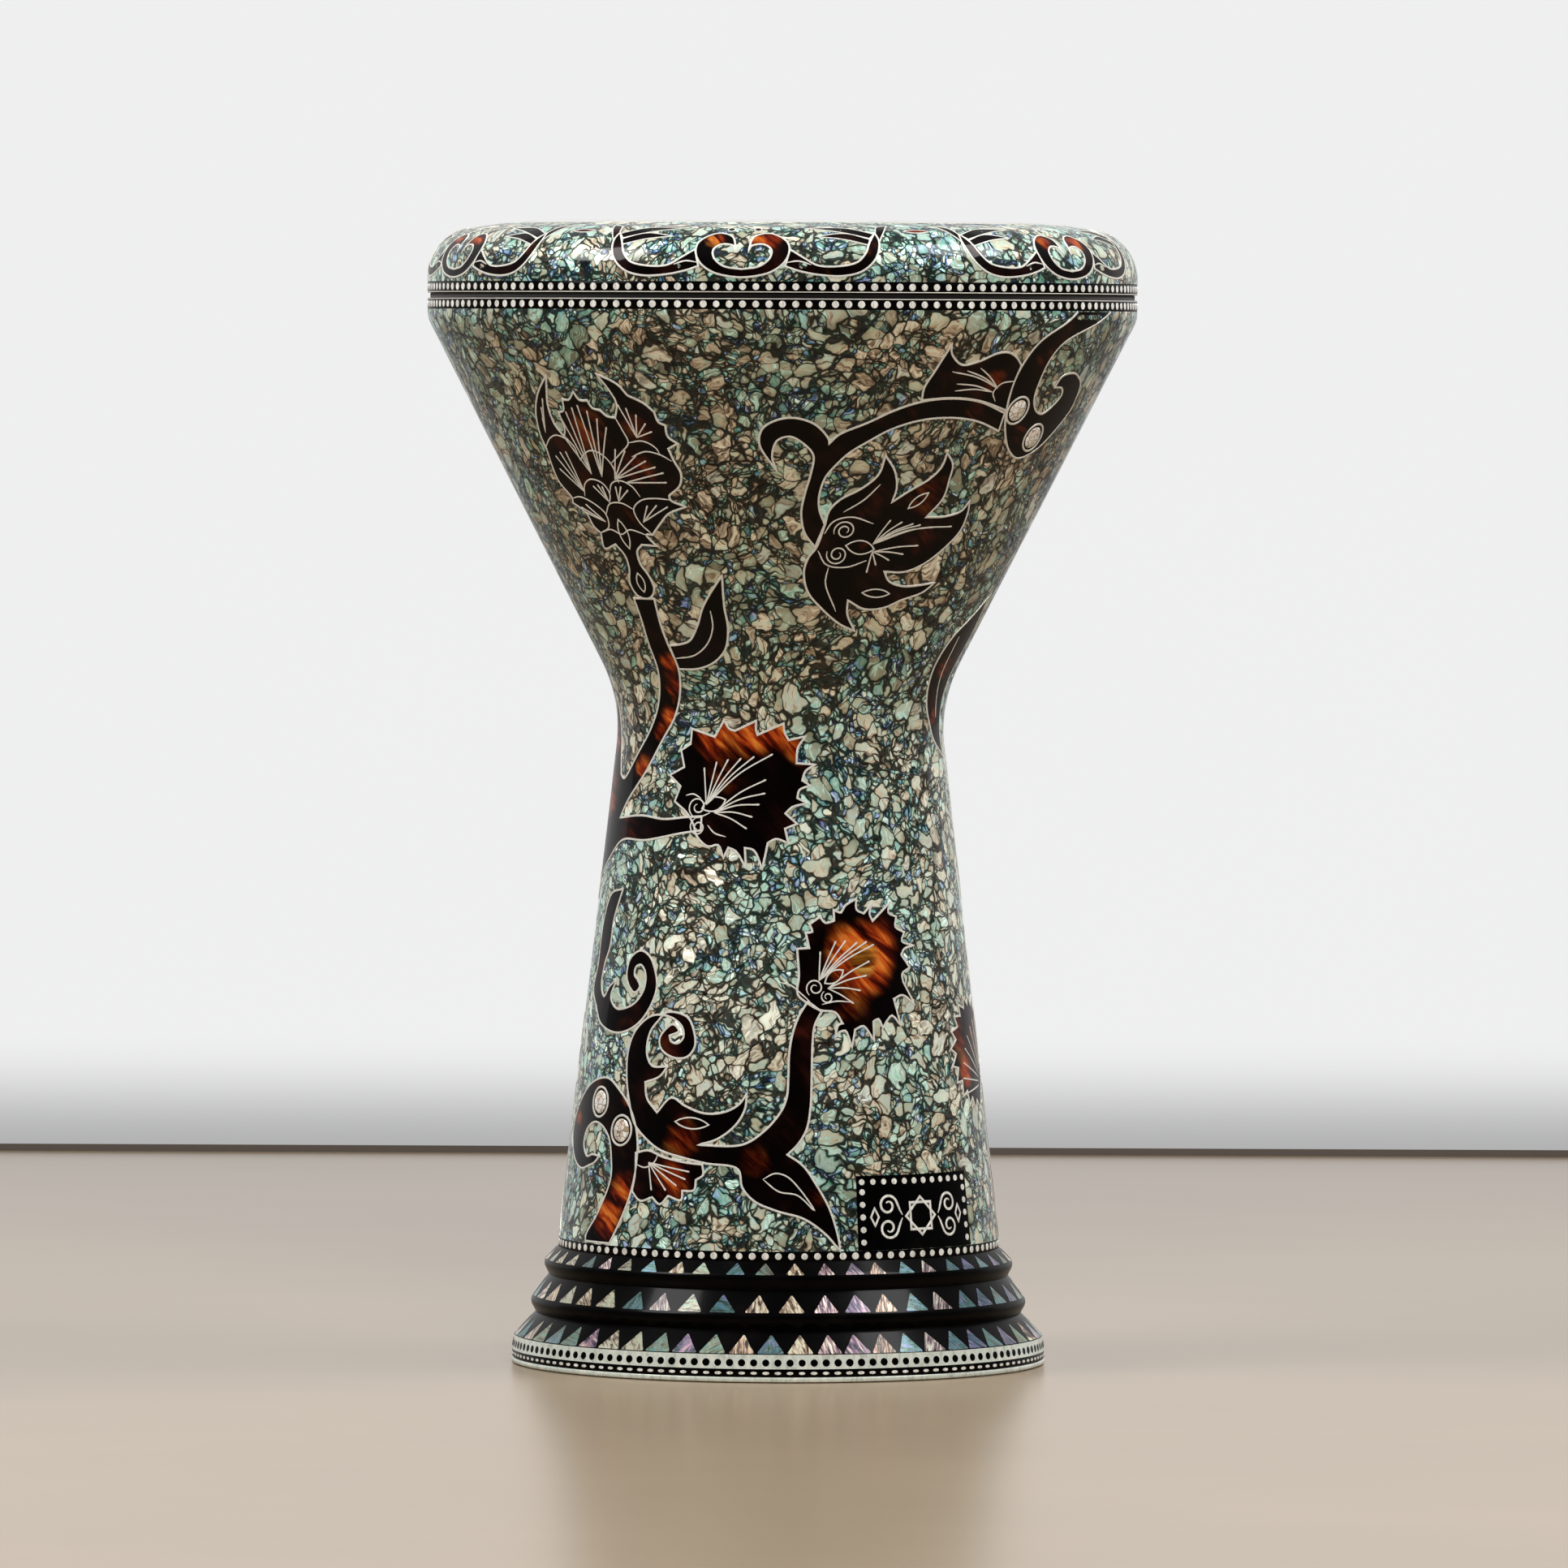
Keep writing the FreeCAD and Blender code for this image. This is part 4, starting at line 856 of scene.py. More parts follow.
# Each vine piece: its outline, the wires and beaded veins on it, and the spots that glow.
# A point is (azimuth, height), with a third number where the line turns sharply.
# A glow is (azimuth, height, size, strength).
VINES = {
    "bowl_arc": dict(
        outline=[
            (-1, 353.3, 1), (-4.3, 363.8), (-3.4, 370.3), (1.1, 374), (5.9, 371.8), (9, 365.6), (9.1, 364, 1),
            (10.8, 367.5), (16.2, 372.3), (20.9, 377), (26, 380.4), (31.6, 381.6), (37.7, 380.6),
            (45.3, 376, 1),
            (45.5, 369, 1), (38.7, 373), (32, 374.2), (26, 373), (20.8, 369.6), (17, 365.3), (13.3, 360.6),
            (10.6, 355.3), (8.8, 350.5), (7.9, 342.9), (8.3, 338), (9.7, 332.7, 1), (7.9, 323.8, 1),
            (5.3, 329.3),
            (4.3, 337), (4.9, 344.7), (5.9, 352.4), (6.2, 359.5), (4.4, 363.7), (1.5, 366.8), (-0.9, 365.2),
            (-1.9, 359),
        ],
        glow=[(24, 375, 7, 0.35), (38, 377, 7, 0.35)],
    ),
    "bowl_petal": dict(
        outline=[
            (25.8, 381, 1), (25.7, 385.6), (27, 392.2), (29, 402.5, 1), (29.4, 399), (32, 394.7), (35.3, 396),
            (38.5, 399), (41, 399.5), (43.3, 397.5), (45, 394.6, 1), (44.8, 386), (45.5, 377, 1),
            (37.7, 380.9),
            (31.6, 381.9),
        ],
        lines=[
            *fan((41.3, 385.6), [(36, 393.5), (33.4, 392.4), (30.4, 392)], 0.1),
            *fan((40.4, 384.2), [(32, 387.3), (32, 384.6)], 0.1),
            [(45, 388.5), (41.8, 387.4), (40.6, 384), (41.8, 380.6)],
        ],
        glow=[(40, 389, 7, 0.5), (29, 385, 6, 0.35)],
    ),
    "cabochon_leaf": dict(
        open=True,
        outline=[
            (55, 415.3, 1), (52.4, 411), (47.5, 403.6), (45.3, 394.5), (44.8, 386), (45.5, 377),
            (47.5, 368.5),
            (50.5, 361.8), (54, 358.5), (57, 359), (61, 362.5), (65, 370), (67.5, 378), (66.5, 386.7),
            (64, 390),
            (61.5, 391.5), (57.8, 390), (57, 386, 1), (59.6, 385.6), (60.6, 383), (59, 378.5), (56.6, 375.6),
            (54, 377), (52, 381.5), (51.5, 388.7), (52, 397.3), (54, 403.5), (61.9, 411), (66, 415.3, 1),
        ],
        glow=[(52, 368, 7, 0.5), (50, 398, 6, 0.4), (60, 364, 6, 0.35)],
    ),
    "palmette": dict(
        outline=[
            (9.8, 332.7, 1), (10.4, 338), (12.6, 342.4), (16.8, 346.6), (20, 352), (20.8, 359.5, 1),
            (23.5, 353.3),
            (24.7, 346.6), (24.3, 341.3, 1), (27.8, 345.7), (32, 350.5), (34, 355), (34.4, 360.5, 1),
            (36.6, 356),
            (36.9, 350.5), (36.8, 342.8), (33.8, 335.4, 1), (39.5, 335.8), (43.5, 338), (44.7, 341.8, 1),
            (45.5, 337), (45.2, 330), (41.6, 322.6), (37, 316.9), (31.7, 314), (26.4, 314.3, 1),
            (28.3, 310.6),
            (33, 308.4), (43, 309.6, 1), (40, 306), (33.6, 302.9), (28.8, 300), (23, 299.6), (17.9, 303, 1),
            (18.4, 297.6), (21.5, 290.9, 1), (16.5, 293.8), (11.2, 299.5), (6.9, 306.3), (5.6, 314),
            (6.5, 319.7),
            (8.2, 323.6),
        ],
        lines=[
            spiral(14.5, 330.3, 4.4, 1.7, 200, -1), spiral(13.4, 320.9, 4.5, 1.7, 160, 1),
            [(9.8, 329), (11.6, 333.8), (15.5, 335.6), (21, 333)],
                [(8.6, 322.5), (11, 317), (16, 316), (21, 318.6)],
            leaf_eye((15.2, 324.5), (22.4, 323), 6.0),
            leaf_eye((28.6, 339), (32.6, 345), 3.4), leaf_eye((21.5, 306), (29.5, 305.5), 3.6),
            [(13.6, 337.5), (17.8, 342.3), (20.9, 348.4)], [(11.6, 316), (11.3, 309.6), (15, 298.6)],
        ],
        veins=[
            *fan((21.8, 325), [(25, 334.5), (28, 333.7), (31, 333), (33, 332.5), (37, 331.6), (42, 331.8)],
                0.12),
            *fan((22, 322), [(34, 324.4), (30.5, 321), (27, 318.6), (23.7, 316.7), (21.6, 313.8)], 0.05),
        ],
        glow=[(33, 345, 12, 0.4), (36, 322, 12, 0.35), (19, 324, 4, 0.5)],
    ),
    "bowl_flower": dict(
        outline=[
            (-45.3, 390, 1), (-49.5, 382.5), (-52.2, 375.2), (-53.6, 366.5), (-53.4, 362, 1), (-54, 353.9),
            (-53.8, 348.3), (-51.5, 342), (-52, 340.3, 1), (-48.7, 336.4), (-47.8, 331), (-46.3, 328.6, 1),
            (-47, 322.6), (-42.8, 324.2, 1), (-41, 319.9), (-41, 315), (-42.5, 308.8), (-41.5, 304.5),
            (-38.8, 303), (-36.5, 304), (-35, 307.2), (-35.5, 312), (-37, 316.7), (-36.8, 321.5),
            (-34.8, 324.2, 1),
            (-30.8, 323.8, 1), (-32.8, 328.1), (-31, 328.2, 1), (-28.3, 332.5), (-25.6, 336.5),
            (-21.2, 339.2, 1),
            (-24.5, 341.9), (-24.5, 343.6, 1), (-21.6, 347.6), (-20.9, 352.3), (-21.9, 357),
            (-22.6, 361.8, 1),
            (-20.5, 363.8, 1), (-22.2, 366.4), (-22.3, 370.9, 1), (-23.5, 371.9), (-24, 376, 1),
            (-25.7, 379.3),
            (-28.6, 382.3, 1), (-30.2, 386.7), (-33.9, 390.6, 1), (-32, 383.9), (-31.3, 379.2),
            (-32.4, 373.6, 1),
            (-34.2, 374.2), (-35.3, 376.4, 1), (-37, 377.4), (-37.6, 380.2, 1), (-39.4, 380.4),
            (-40.2, 383.6, 1),
            (-42, 380.4), (-43.4, 380.6, 1), (-44.2, 376.2), (-45.6, 375.6, 1), (-45.6, 369), (-46.6, 366, 1),
            (-48, 371), (-47.9, 378), (-46.6, 384.4),
        ],
        lines=[
            [(-53.4, 362), (-50.8, 365.6), (-48.2, 366.6), (-45, 363), (-44.4, 357)],
            [(-46.4, 366.4), (-45, 363)],
            [(-44.4, 357), (-42.6, 359.6), (-40.6, 360.8), (-38.2, 359.4), (-36.4, 355), (-36, 348.3)],
            [(-36.4, 356), (-33.4, 360), (-31, 364), (-31.6, 369), (-32.4, 373.6)],
            [(-31, 364), (-27.6, 364.6), (-25.2, 362), (-24.6, 359.4)],
            [(-31, 358.6), (-27.6, 360.6), (-24.6, 359.4), (-22.4, 357)],
            [(-51.5, 342), (-48.6, 342.6), (-44.6, 339.6), (-42.5, 335.8), (-43, 331), (-46.3, 328.6)],
            [(-47, 343), (-45.8, 347.4), (-43.4, 349.6), (-40.4, 348), (-39.4, 344), (-40.6, 339.6)],
            [(-39.4, 344), (-38, 348), (-35.6, 349.2), (-33, 347), (-31.6, 343)],
            [(-31, 328.2), (-33.6, 333), (-34.2, 338), (-31.6, 341.6), (-28.3, 342.4), (-24.5, 341.9)],
            [(-42.5, 335.8), (-40.4, 340), (-37, 340.4), (-34.2, 338)],
            [(-46.3, 328.6), (-42.6, 330), (-39.8, 328.2), (-37, 330), (-32.8, 328.1)],
            leaf_eye((-39.4, 334), (-38.8, 322.6), 5.0), leaf_eye((-38.8, 313), (-38.6, 305.6), 4.6),
        ],
        veins=[
            *fan((-42.6, 351.6), [(-45.6, 374), (-43.7, 376), (-41.8, 377.6), (-47.2, 368)], 0.0),
            *fan((-40, 350.6), [(-40.3, 378.6), (-38.4, 376.4), (-36.6, 373.4), (-35, 370)], 0.0),
            *fan((-36.8, 349.6), [(-34.4, 361.6), (-32.2, 361), (-30, 359), (-28, 357), (-26.2, 354.6)], 0.0),
            *fan((-34.4, 348.4), [(-24.6, 352.4), (-24.4, 348.6)], 0.0),
            *fan((-46.6, 344.6), [(-51.4, 358.6), (-49.6, 360.2), (-47.8, 360.4), (-51.8, 353.6)], 0.0),
            *fan((-40.4, 341), [(-43.4, 347), (-42, 347.6), (-40.9, 347)], 0.0),
            *fan((-37.6, 341), [(-37.2, 347), (-35.8, 347), (-34.2, 345.6)], 0.0),
            *fan((-43.4, 333), [(-49.6, 338.6), (-47.8, 339.8), (-48.8, 336.6)], 0.0),
            *fan((-32.6, 333), [(-25.4, 339.2), (-28, 339.8), (-30.4, 339.6)], 0.0),
            *fan((-51.6, 367.6), [(-48.6, 381), (-49.9, 377.6), (-50.8, 373.4)], 0.0),
            *fan((-28.8, 366), [(-31.2, 379), (-29.6, 377.6), (-27.8, 375), (-26.2, 371.6), (-25.2, 368.4)],
                0.0),
        ],
        glow=[(-40, 368, 13, 0.55), (-30, 352, 10, 0.5), (-47, 350, 10, 0.4), (-28, 370, 8, 0.4),
            (-35, 335, 8, 0.3)],
    ),
    "waist_stems": dict(
        outline=[
            (-36, 303, 1), (-43, 303, 1), (-43, 294.5), (-43.5, 285.5), (-43.5, 275), (-46.5, 262.5),
            (-51.5, 252.5), (-58, 243.5), (-68, 231.5), (-72, 233, 1), (-75.5, 245), (-79, 264, 1),
            (-86, 250),
            (-91, 232), (-94, 215), (-93, 200), (-88, 184, 1), (-84, 192), (-74, 200), (-64, 207.5),
            (-50, 208),
            (-33, 211.5), (-27, 212.5, 1), (-27, 218, 1), (-33, 217.5), (-42, 216.5), (-53, 217.5),
            (-68, 216, 1),
            (-64, 222), (-53.5, 234.5), (-46, 247), (-40, 256), (-36.5, 265), (-34.8, 275.5), (-36, 285),
            (-36.5, 292.5),
        ],
        glow=[(-38, 278, 4, 1.3), (-38, 268, 4, 1.2), (-42, 257, 4, 1.2), (-47, 250, 4, 0.8),
            (-56, 236, 5, 0.9), (-60, 212, 9, 0.5),
              (-80, 225, 10, 0.7), (-84, 245, 7, 1.0)],
    ),
    "waist_leaf": dict(
        outline=[
            (-35.6, 284.6, 1), (-31.6, 285.2), (-28, 286.7), (-24.5, 292.4), (-21.5, 300.2), (-15, 312.5, 1),
            (-15.5, 300.3), (-15.3, 291.5), (-17, 283.5), (-21.5, 278.2), (-27.8, 275.6), (-34.6, 275.4, 1),
        ],
        lines=[[(-34.6, 279.6), (-27.5, 281), (-22.4, 285.6), (-19.8, 292), (-19.6, 298.7)]],
        glow=[(-24, 283, 9, 0.3)],
    ),
    "carnation_upper": dict(
        outline=[
            (-38, 223.5, 1), (-36, 229.5, 1), (-41, 233.7, 1), (-35, 237, 1), (-36.8, 243.5, 1),
            (-33, 246, 1),
            (-32.5, 252, 1), (-27.6, 250.4), (-23.5, 249, 1), (-20, 255.5, 1), (-18, 252.2), (-16, 251.5, 1),
            (-8.5, 255.5, 1), (-8.6, 252), (-8, 250, 1), (1, 254.5, 1), (1.4, 251), (2.8, 248, 1),
            (8.7, 249.5, 1),
            (6, 245), (5.5, 239, 1), (12, 238.5, 1), (8.6, 236), (7.4, 232.4, 1), (10, 230.4, 1),
            (6.4, 228.6),
            (5.7, 225.5, 1), (9, 223.5, 1), (4, 222), (1.7, 219.5, 1), (5.5, 215.5, 1), (1.6, 213.6, 1),
            (2.6, 208, 1), (-1.4, 209.6), (-4, 208, 1), (-5.7, 198, 1), (-8.6, 205.2), (-11.5, 206, 1),
            (-11, 198.5, 1), (-14.6, 204.8), (-17, 206, 1), (-18.6, 202, 1), (-20.6, 207), (-24, 206.3),
            (-28.5, 210.5), (-30, 215), (-33, 219.5),
        ],
        lines=[
            spiral(-28.6, 221.6, 4.2, 1.4, 250, -1), spiral(-28.2, 213.8, 3.6, 1.4, 110, 1),
            leaf_eye((-27, 221), (-18.6, 224.6), 5.4), [(-33.5, 226), (-30.6, 226.6), (-27.6, 225)],
            [(-31.5, 217.6), (-28, 217.6), (-24, 219.4)], [(-24.6, 214.6), (-22, 211.6), (-18, 210.2)],
        ],
        veins=[
            *fan((-25.5, 222.5), [(-27, 237), (-22.4, 239.4), (-18.2, 240.4), (-13.6, 240.9), (-9, 241.6),
                (-2.6, 242.6)], 0.1),
            *fan((-22.5, 219.5), [(-4.8, 232.6), (-5, 227.3), (-6.9, 222.9), (-9.2, 218), (-11, 213.4)],
                0.08),
        ],
        glow=[(-10, 250, 9, 1.0), (-26, 249, 8, 0.9), (-20, 232, 9, 0.42), (6, 243, 5, 0.7),
            (0, 252, 6, 0.9)],
    ),
    "carnation_lower": dict(
        outline=[
            (5.8, 156.7), (5.3, 167, 1), (9, 167.3, 1), (8, 173.2, 1), (10, 173.6), (9.2, 176.5, 1),
            (12.5, 179.4, 1),
            (14.2, 177), (17, 177.8, 1), (17, 182, 1), (19.4, 181), (20.6, 183.4), (24.6, 186.3, 1),
            (24.6, 182),
            (27, 180.5, 1), (30.4, 184.5, 1), (29, 180.6), (30, 177.5, 1), (37, 184.8, 1), (36, 180.6),
            (39, 179, 1),
            (38.4, 175), (41.8, 172.8, 1), (40.6, 169.4), (45.5, 167.5, 1), (41.4, 166.4), (40, 164, 1),
            (43, 159, 1),
            (39.8, 156.6), (40, 153.5, 1), (44, 144.5, 1), (39.4, 148.4), (36, 147, 1), (38, 136.5, 1),
            (35, 140.6),
            (33, 138.5, 1), (31.6, 136, 1), (30.2, 139.4), (28.5, 138.5, 1), (28.4, 131, 1), (25.2, 136.8),
            (22.5, 135.5, 1), (21.3, 128.5, 1), (19.4, 135.2), (17.6, 134.6, 1), (16.3, 132.5, 1),
            (17.4, 137.4),
            (18.7, 138, 1), (16.5, 142.3), (12, 143.2), (8.2, 146), (5.4, 149.4),
        ],
        lines=[
            spiral(10.6, 151.8, 3.6, 1.5, 230, -1), spiral(14.3, 148.2, 2.6, 1.4, 120, 1),
            leaf_eye((13.6, 153.6), (19.4, 158.6), 4.4),
            [(0, 154), (3.4, 152.8), (6.4, 149.6), (9, 146.5)], [(12.6, 145.4), (17, 146.6), (21.4, 146.2)],
        ],
        veins=[
            *fan((11.8, 154.6), [(12.4, 166), (17.4, 170), (20.6, 170.2), (24.4, 169.4), (27.6, 169.6),
                (30, 168.4)], 0.08),
            *fan((14.4, 151.6), [(28.2, 162), (27, 156.4), (24.8, 150.6), (22.4, 145.6)], 0.06),
        ],
        glow=[(22, 166, 11, 1.0), (28, 158, 10, 0.95), (33, 170, 9, 0.6), (20, 142, 8, 0.4)],
    ),
    "stem_lower": dict(
        outline=[
            (8.4, 146.6, 1), (5.6, 140.7), (3.7, 133.3), (2.8, 125.8), (2.6, 117.5), (2.1, 109.2),
            (0.3, 103.4),
            (-4.7, 95.5), (-10, 91), (-22.5, 90.5, 1), (-17, 93), (-12, 98.5), (-9.5, 104.6), (-9, 111, 1),
            (-11, 106.8), (-15, 103.6), (-21, 102.8), (-27, 105.5), (-31.5, 108.5), (-36, 102.5, 1),
            (-40, 108),
            (-41, 114, 1), (-36, 116.5), (-33.5, 120.5, 1), (-39, 120.5), (-41, 124), (-41.5, 128.5),
            (-40.5, 134),
            (-38, 138), (-35, 141.5), (-28, 140), (-25.5, 134.5), (-25, 128.5), (-27.3, 124.5), (-31.5, 124),
            (-36, 127), (-37, 131), (-35, 135), (-32.5, 137), (-30.4, 134.4), (-33.5, 132.5, 1), (-33, 130.4),
            (-30.6, 129.6), (-28.8, 132), (-29.4, 136), (-33, 139.4), (-38.4, 140.4), (-42, 139), (-47, 133),
            (-49, 125), (-48.5, 115), (-46.5, 106), (-44, 98), (-38.5, 91.5), (-34, 88), (-27, 85.5),
            (-20, 83.5),
            (-11, 81.5), (-9.7, 74.5), (-6.5, 69.3), (-0.7, 65.6), (6.5, 62.5), (12, 56.8), (16, 50, 1),
            (15.7, 54.5), (13.5, 66), (10, 75.6), (6.5, 83), (2.3, 87.3, 1), (5, 91), (7.5, 96.8), (8.7, 105),
            (9.2, 117.5), (9.6, 130.8), (10.3, 137.4), (12.4, 142.6, 1),
        ],
        lines=[
            leaf_eye((-29.8, 99.3), (-19.6, 98.4), 4.4),
            [(-4.2, 77.7), (-1, 80), (2.2, 78.8), (5.8, 73.5), (9.4, 65.6), (5, 71.5), (0, 73), (-4.2, 77.7)],
        ],
        glow=[(-28, 93, 10, 0.6), (-36, 133, 10, 0.35), (-6, 84, 10, 0.45), (10, 70, 8, 0.4)],
    ),
    "scroll_left": dict(
        outline=[
            (-60, 188.5, 1), (-68, 186), (-72, 177), (-73, 167.5), (-73, 158), (-75, 148.5), (-70, 141.5),
            (-66, 136), (-57, 132.5), (-50.5, 133.5), (-45, 137.5), (-41, 144.5), (-39.5, 151.5),
            (-41, 158.5),
            (-43.4, 163), (-47.5, 165), (-52, 161.5), (-53, 155), (-51, 150.5), (-48.5, 148.5), (-46.4, 151),
            (-48, 154, 1), (-49.2, 155.2), (-49, 158.4), (-46.6, 159.4), (-44.4, 156), (-44.6, 150),
            (-48, 144.5),
            (-53, 142), (-57, 142), (-60.6, 146), (-58, 153.5, 1), (-62.4, 149.6), (-65, 146), (-68, 150),
            (-67.4, 158), (-64.6, 166), (-64, 176),
        ],
        glow=[(-55, 136, 9, 0.3), (-70, 160, 10, 0.4)],
    ),
    "cabochon_stem": dict(
        outline=[
            (-60.5, 50.6, 1), (-60.5, 53), (-56, 61.5), (-51.5, 75.5), (-52, 83.5), (-54, 91.5), (-58, 96),
            (-62.5, 97), (-67, 93.5), (-68, 88), (-65, 83.5), (-61.6, 84.4), (-58, 84, 1), (-60, 81.4),
            (-63, 80),
            (-68, 78.5), (-75, 82.5), (-80, 91), (-78, 99), (-72, 107.5), (-65, 113), (-57, 114.5),
            (-52, 111),
            (-46.5, 104.5), (-43.5, 97.5), (-42, 89.5), (-42, 79.5), (-43.5, 69), (-46.5, 58.5),
            (-49.5, 50.6, 1),
        ],
        glow=[(-46, 72, 7, 0.8), (-52, 60, 8, 1.1), (-47, 108, 5, 0.6), (-75, 98, 6, 0.55)],
    ),
    "skirt_fan": dict(
        outline=[
            (-42.4, 86.4, 1), (-38, 87.6), (-33, 85.4), (-26, 83.6), (-21, 83, 1), (-20.6, 79),
            (-22.6, 77, 1),
            (-23, 73), (-26.4, 72.6, 1), (-26.6, 69), (-30.6, 70.4, 1), (-33, 67), (-35.6, 69.6, 1),
            (-39.6, 68),
            (-42.6, 71.4, 1), (-42, 78),
        ],
        lines=[
            [(-42, 82), (-38.6, 81), (-35.6, 83.4), (-34.6, 86.6)],
        ],
        veins=[
            *fan((-37.6, 83), [(-24.6, 80), (-25.6, 77), (-28.2, 74.4), (-31.4, 72.4), (-36, 72.2)], 0.0),
        ],
        glow=[(-30, 77, 10, 0.7)],
    ),
    "stem_right": dict(
        outline=[(84, 112, 1), (84, 88), (83.4, 74), (86, 60), (90, 50.6, 1), (97, 50.6, 1), (92, 62),
            (89.4, 75),
                 (90, 88), (90, 110, 1)],
        glow=[(87, 80, 12, 0.5)],
    ),
    "neck_leaf": dict(
        outline=[
            (75, 303, 1), (68, 295), (62, 288), (59, 279.5), (59, 270), (61, 261), (65, 253.5), (69, 247),
            (79, 240, 1), (76, 250), (74.6, 262), (75.6, 276), (77, 290),
        ],
        lines=[[(66, 288), (66, 272), (70, 256)]],
        glow=[(66, 276, 7, 0.6), (68, 256, 5, 0.6)],
    ),
}


def carnation(azimuth, height, size, teeth, lean):
    """A round carnation's drawing, outline and veins, by rule, from a base on the side that it leans to.

    Its toothed edge goes round most of a circle, with notches a little nearer the middle than the tips.
    """
    opening, notch, skew = 38, 0.82, 0.06
    drawing = Drawing(SHELL_SKIN, height)
    centre = drawing.flat(azimuth, height)
    edge, sharp = [], []
    for k in range(teeth * 2):
        tip = k % 2
        angle = math.radians(lean + opening + (360 - 2 * opening) * k / (teeth * 2 - 1)) + skew * tip
        edge.append(centre + size * (1.0 if tip else notch) * np.array([math.cos(angle), math.sin(angle)]))
        sharp.append(True)
    base = centre + 0.72 * size * np.array([math.cos(math.radians(lean)), math.sin(math.radians(lean))])
    edge.append(base)
    sharp.append(False)
    veins = []
    for side in range(-56, 57, 14):
        angle = math.radians(lean + 180 + side)
        way = np.array([math.cos(angle), math.sin(angle)])
        veins.append(np.array([base + way * size * reach for reach in (0.3, 0.7, 1.12)]))
    return drawing, smoothed(edge, sharp, True, 1.5), veins


def glowing(drawing, spots):
    """What marks flat points with the glow of the spots near them."""

    def mark(points):
        total = np.zeros(len(points))
        for azimuth, height, size, strength in spots:
            away = np.linalg.norm(points - drawing.flat(azimuth, height), axis=1)
            total += strength * np.exp(-((away / size) ** 2))
        return np.clip(total, 0, 2)

    return mark


def lay_vine(plates, wires, drawing, vine, edge_width=EDGE_WIRE):
    """Lays one vine piece: its plate, the wire round it and the wires on it."""
    outline = drawing.line(vine["outline"], closed=True)
    lay_plate(plates, drawing, outline, glowing(drawing, vine.get("glow", [])))
    if vine.get("open"):
        lay_wire(wires, drawing, drawing.line(vine["outline"]), edge_width, ends="plain")
    else:
        lay_wire(wires, drawing, outline, edge_width, closed=True)
    for line in vine.get("lines", []):
        closed = getattr(line, "closed", False)
        drawn = line(drawing) if callable(line) else drawing.line(line, step=1.0)
        lay_wire(wires, drawing, drawn, VEIN_WIRE, closed=closed, ends="thin")
    for vein in vine.get("veins", []):
        lay_wire(wires, drawing, drawing.line(vein, step=VEIN_STEP), VEIN_WIRE, ends="beaded")


CARNATION_GLOW = [(64, 131, 8, 0.7), (68, 116, 6, 1.0), (78, 131, 9, 0.4)]


def lay_vines():
    plates, wires = Gathered(), Gathered()
    for number in range(SETS):
        start = 360 / SETS * number
        for vine in VINES.values():
            heights = [spot[1] for spot in vine["outline"]]
            lay_vine(plates, wires, Drawing(SHELL_SKIN, sum(heights) / len(heights), start), vine)
        drawing, edge, veins = carnation(76, 124, 23, 17, -48)
        drawing.start = start
        lay_plate(plates, drawing, edge, glowing(drawing, CARNATION_GLOW))
        lay_wire(wires, drawing, edge, EDGE_WIRE, closed=True)
        for vein in veins:
            lay_wire(wires, drawing, smoothed(vein, [False] * 3, False, VEIN_STEP), VEIN_WIRE, ends="beaded")
    finish_piece(plates.piece("shell_vine_plates", TORTOISESHELL, mark="glow"), "shell", "abalone_mosaic")
    finish_piece(wires.piece("shell_vine_wires", TIN), "shell", "abalone_mosaic")


# The ring's heart and the scroll at its right, azimuths from the heart's middle. The left side mirrors it.
HEART_MIDDLE = -6.5
HEART_OUTER = [(0, 427.9), (2, 428.3), (4.5, 429.8), (6.5, 433), (7.5, 437), (7.4, 441), (5.8, 443.8),
    (4, 444.8),
               (1.8, 443.4), (1, 437.7, 1)]
HEART_INNER = [(1.5, 440), (3.5, 440.5), (4.7, 438.5), (4.5, 435.4), (2.9, 432.2), (0, 431, 1)]
HEART_LOBES = [(-2.3, 446.2), (-0.8, 447.5), (0.8, 447.5), (2.3, 446.2)]
SCROLL = [(6.9, 432.2, 1), (9, 430.5), (12.1, 429), (16.2, 428.6), (19.3, 430.6), (21.5, 435.4),
    (22.5, 441.8),
          (22.2, 445, 1), (20.7, 441), (20, 437.7), (18.5, 434), (15.5, 432.3), (12, 432.6), (9.9, 435.4),
          (7.7, 438.6, 1)]
SCROLL_LEAVES = [
    [(22, 444.6, 1), (17, 446.9), (10.5, 446.8, 1), (16, 445.4), (21, 442.9, 1)],
    [(21, 442.6, 1), (17, 444.8), (12, 443.6, 1), (16.5, 442.6), (20.6, 440.4, 1)],
    [(22.3, 445, 1), (23.4, 447.4), (25.6, 447.8, 1), (24, 445.6), (22.6, 442, 1)],
]
SCROLL_NOTCH = [(7.2, 433.6), (9, 434.2), (11, 432.8)]


def mirrored(spots):
    return [(-spot[0], *spot[1:]) for spot in reversed(spots)]


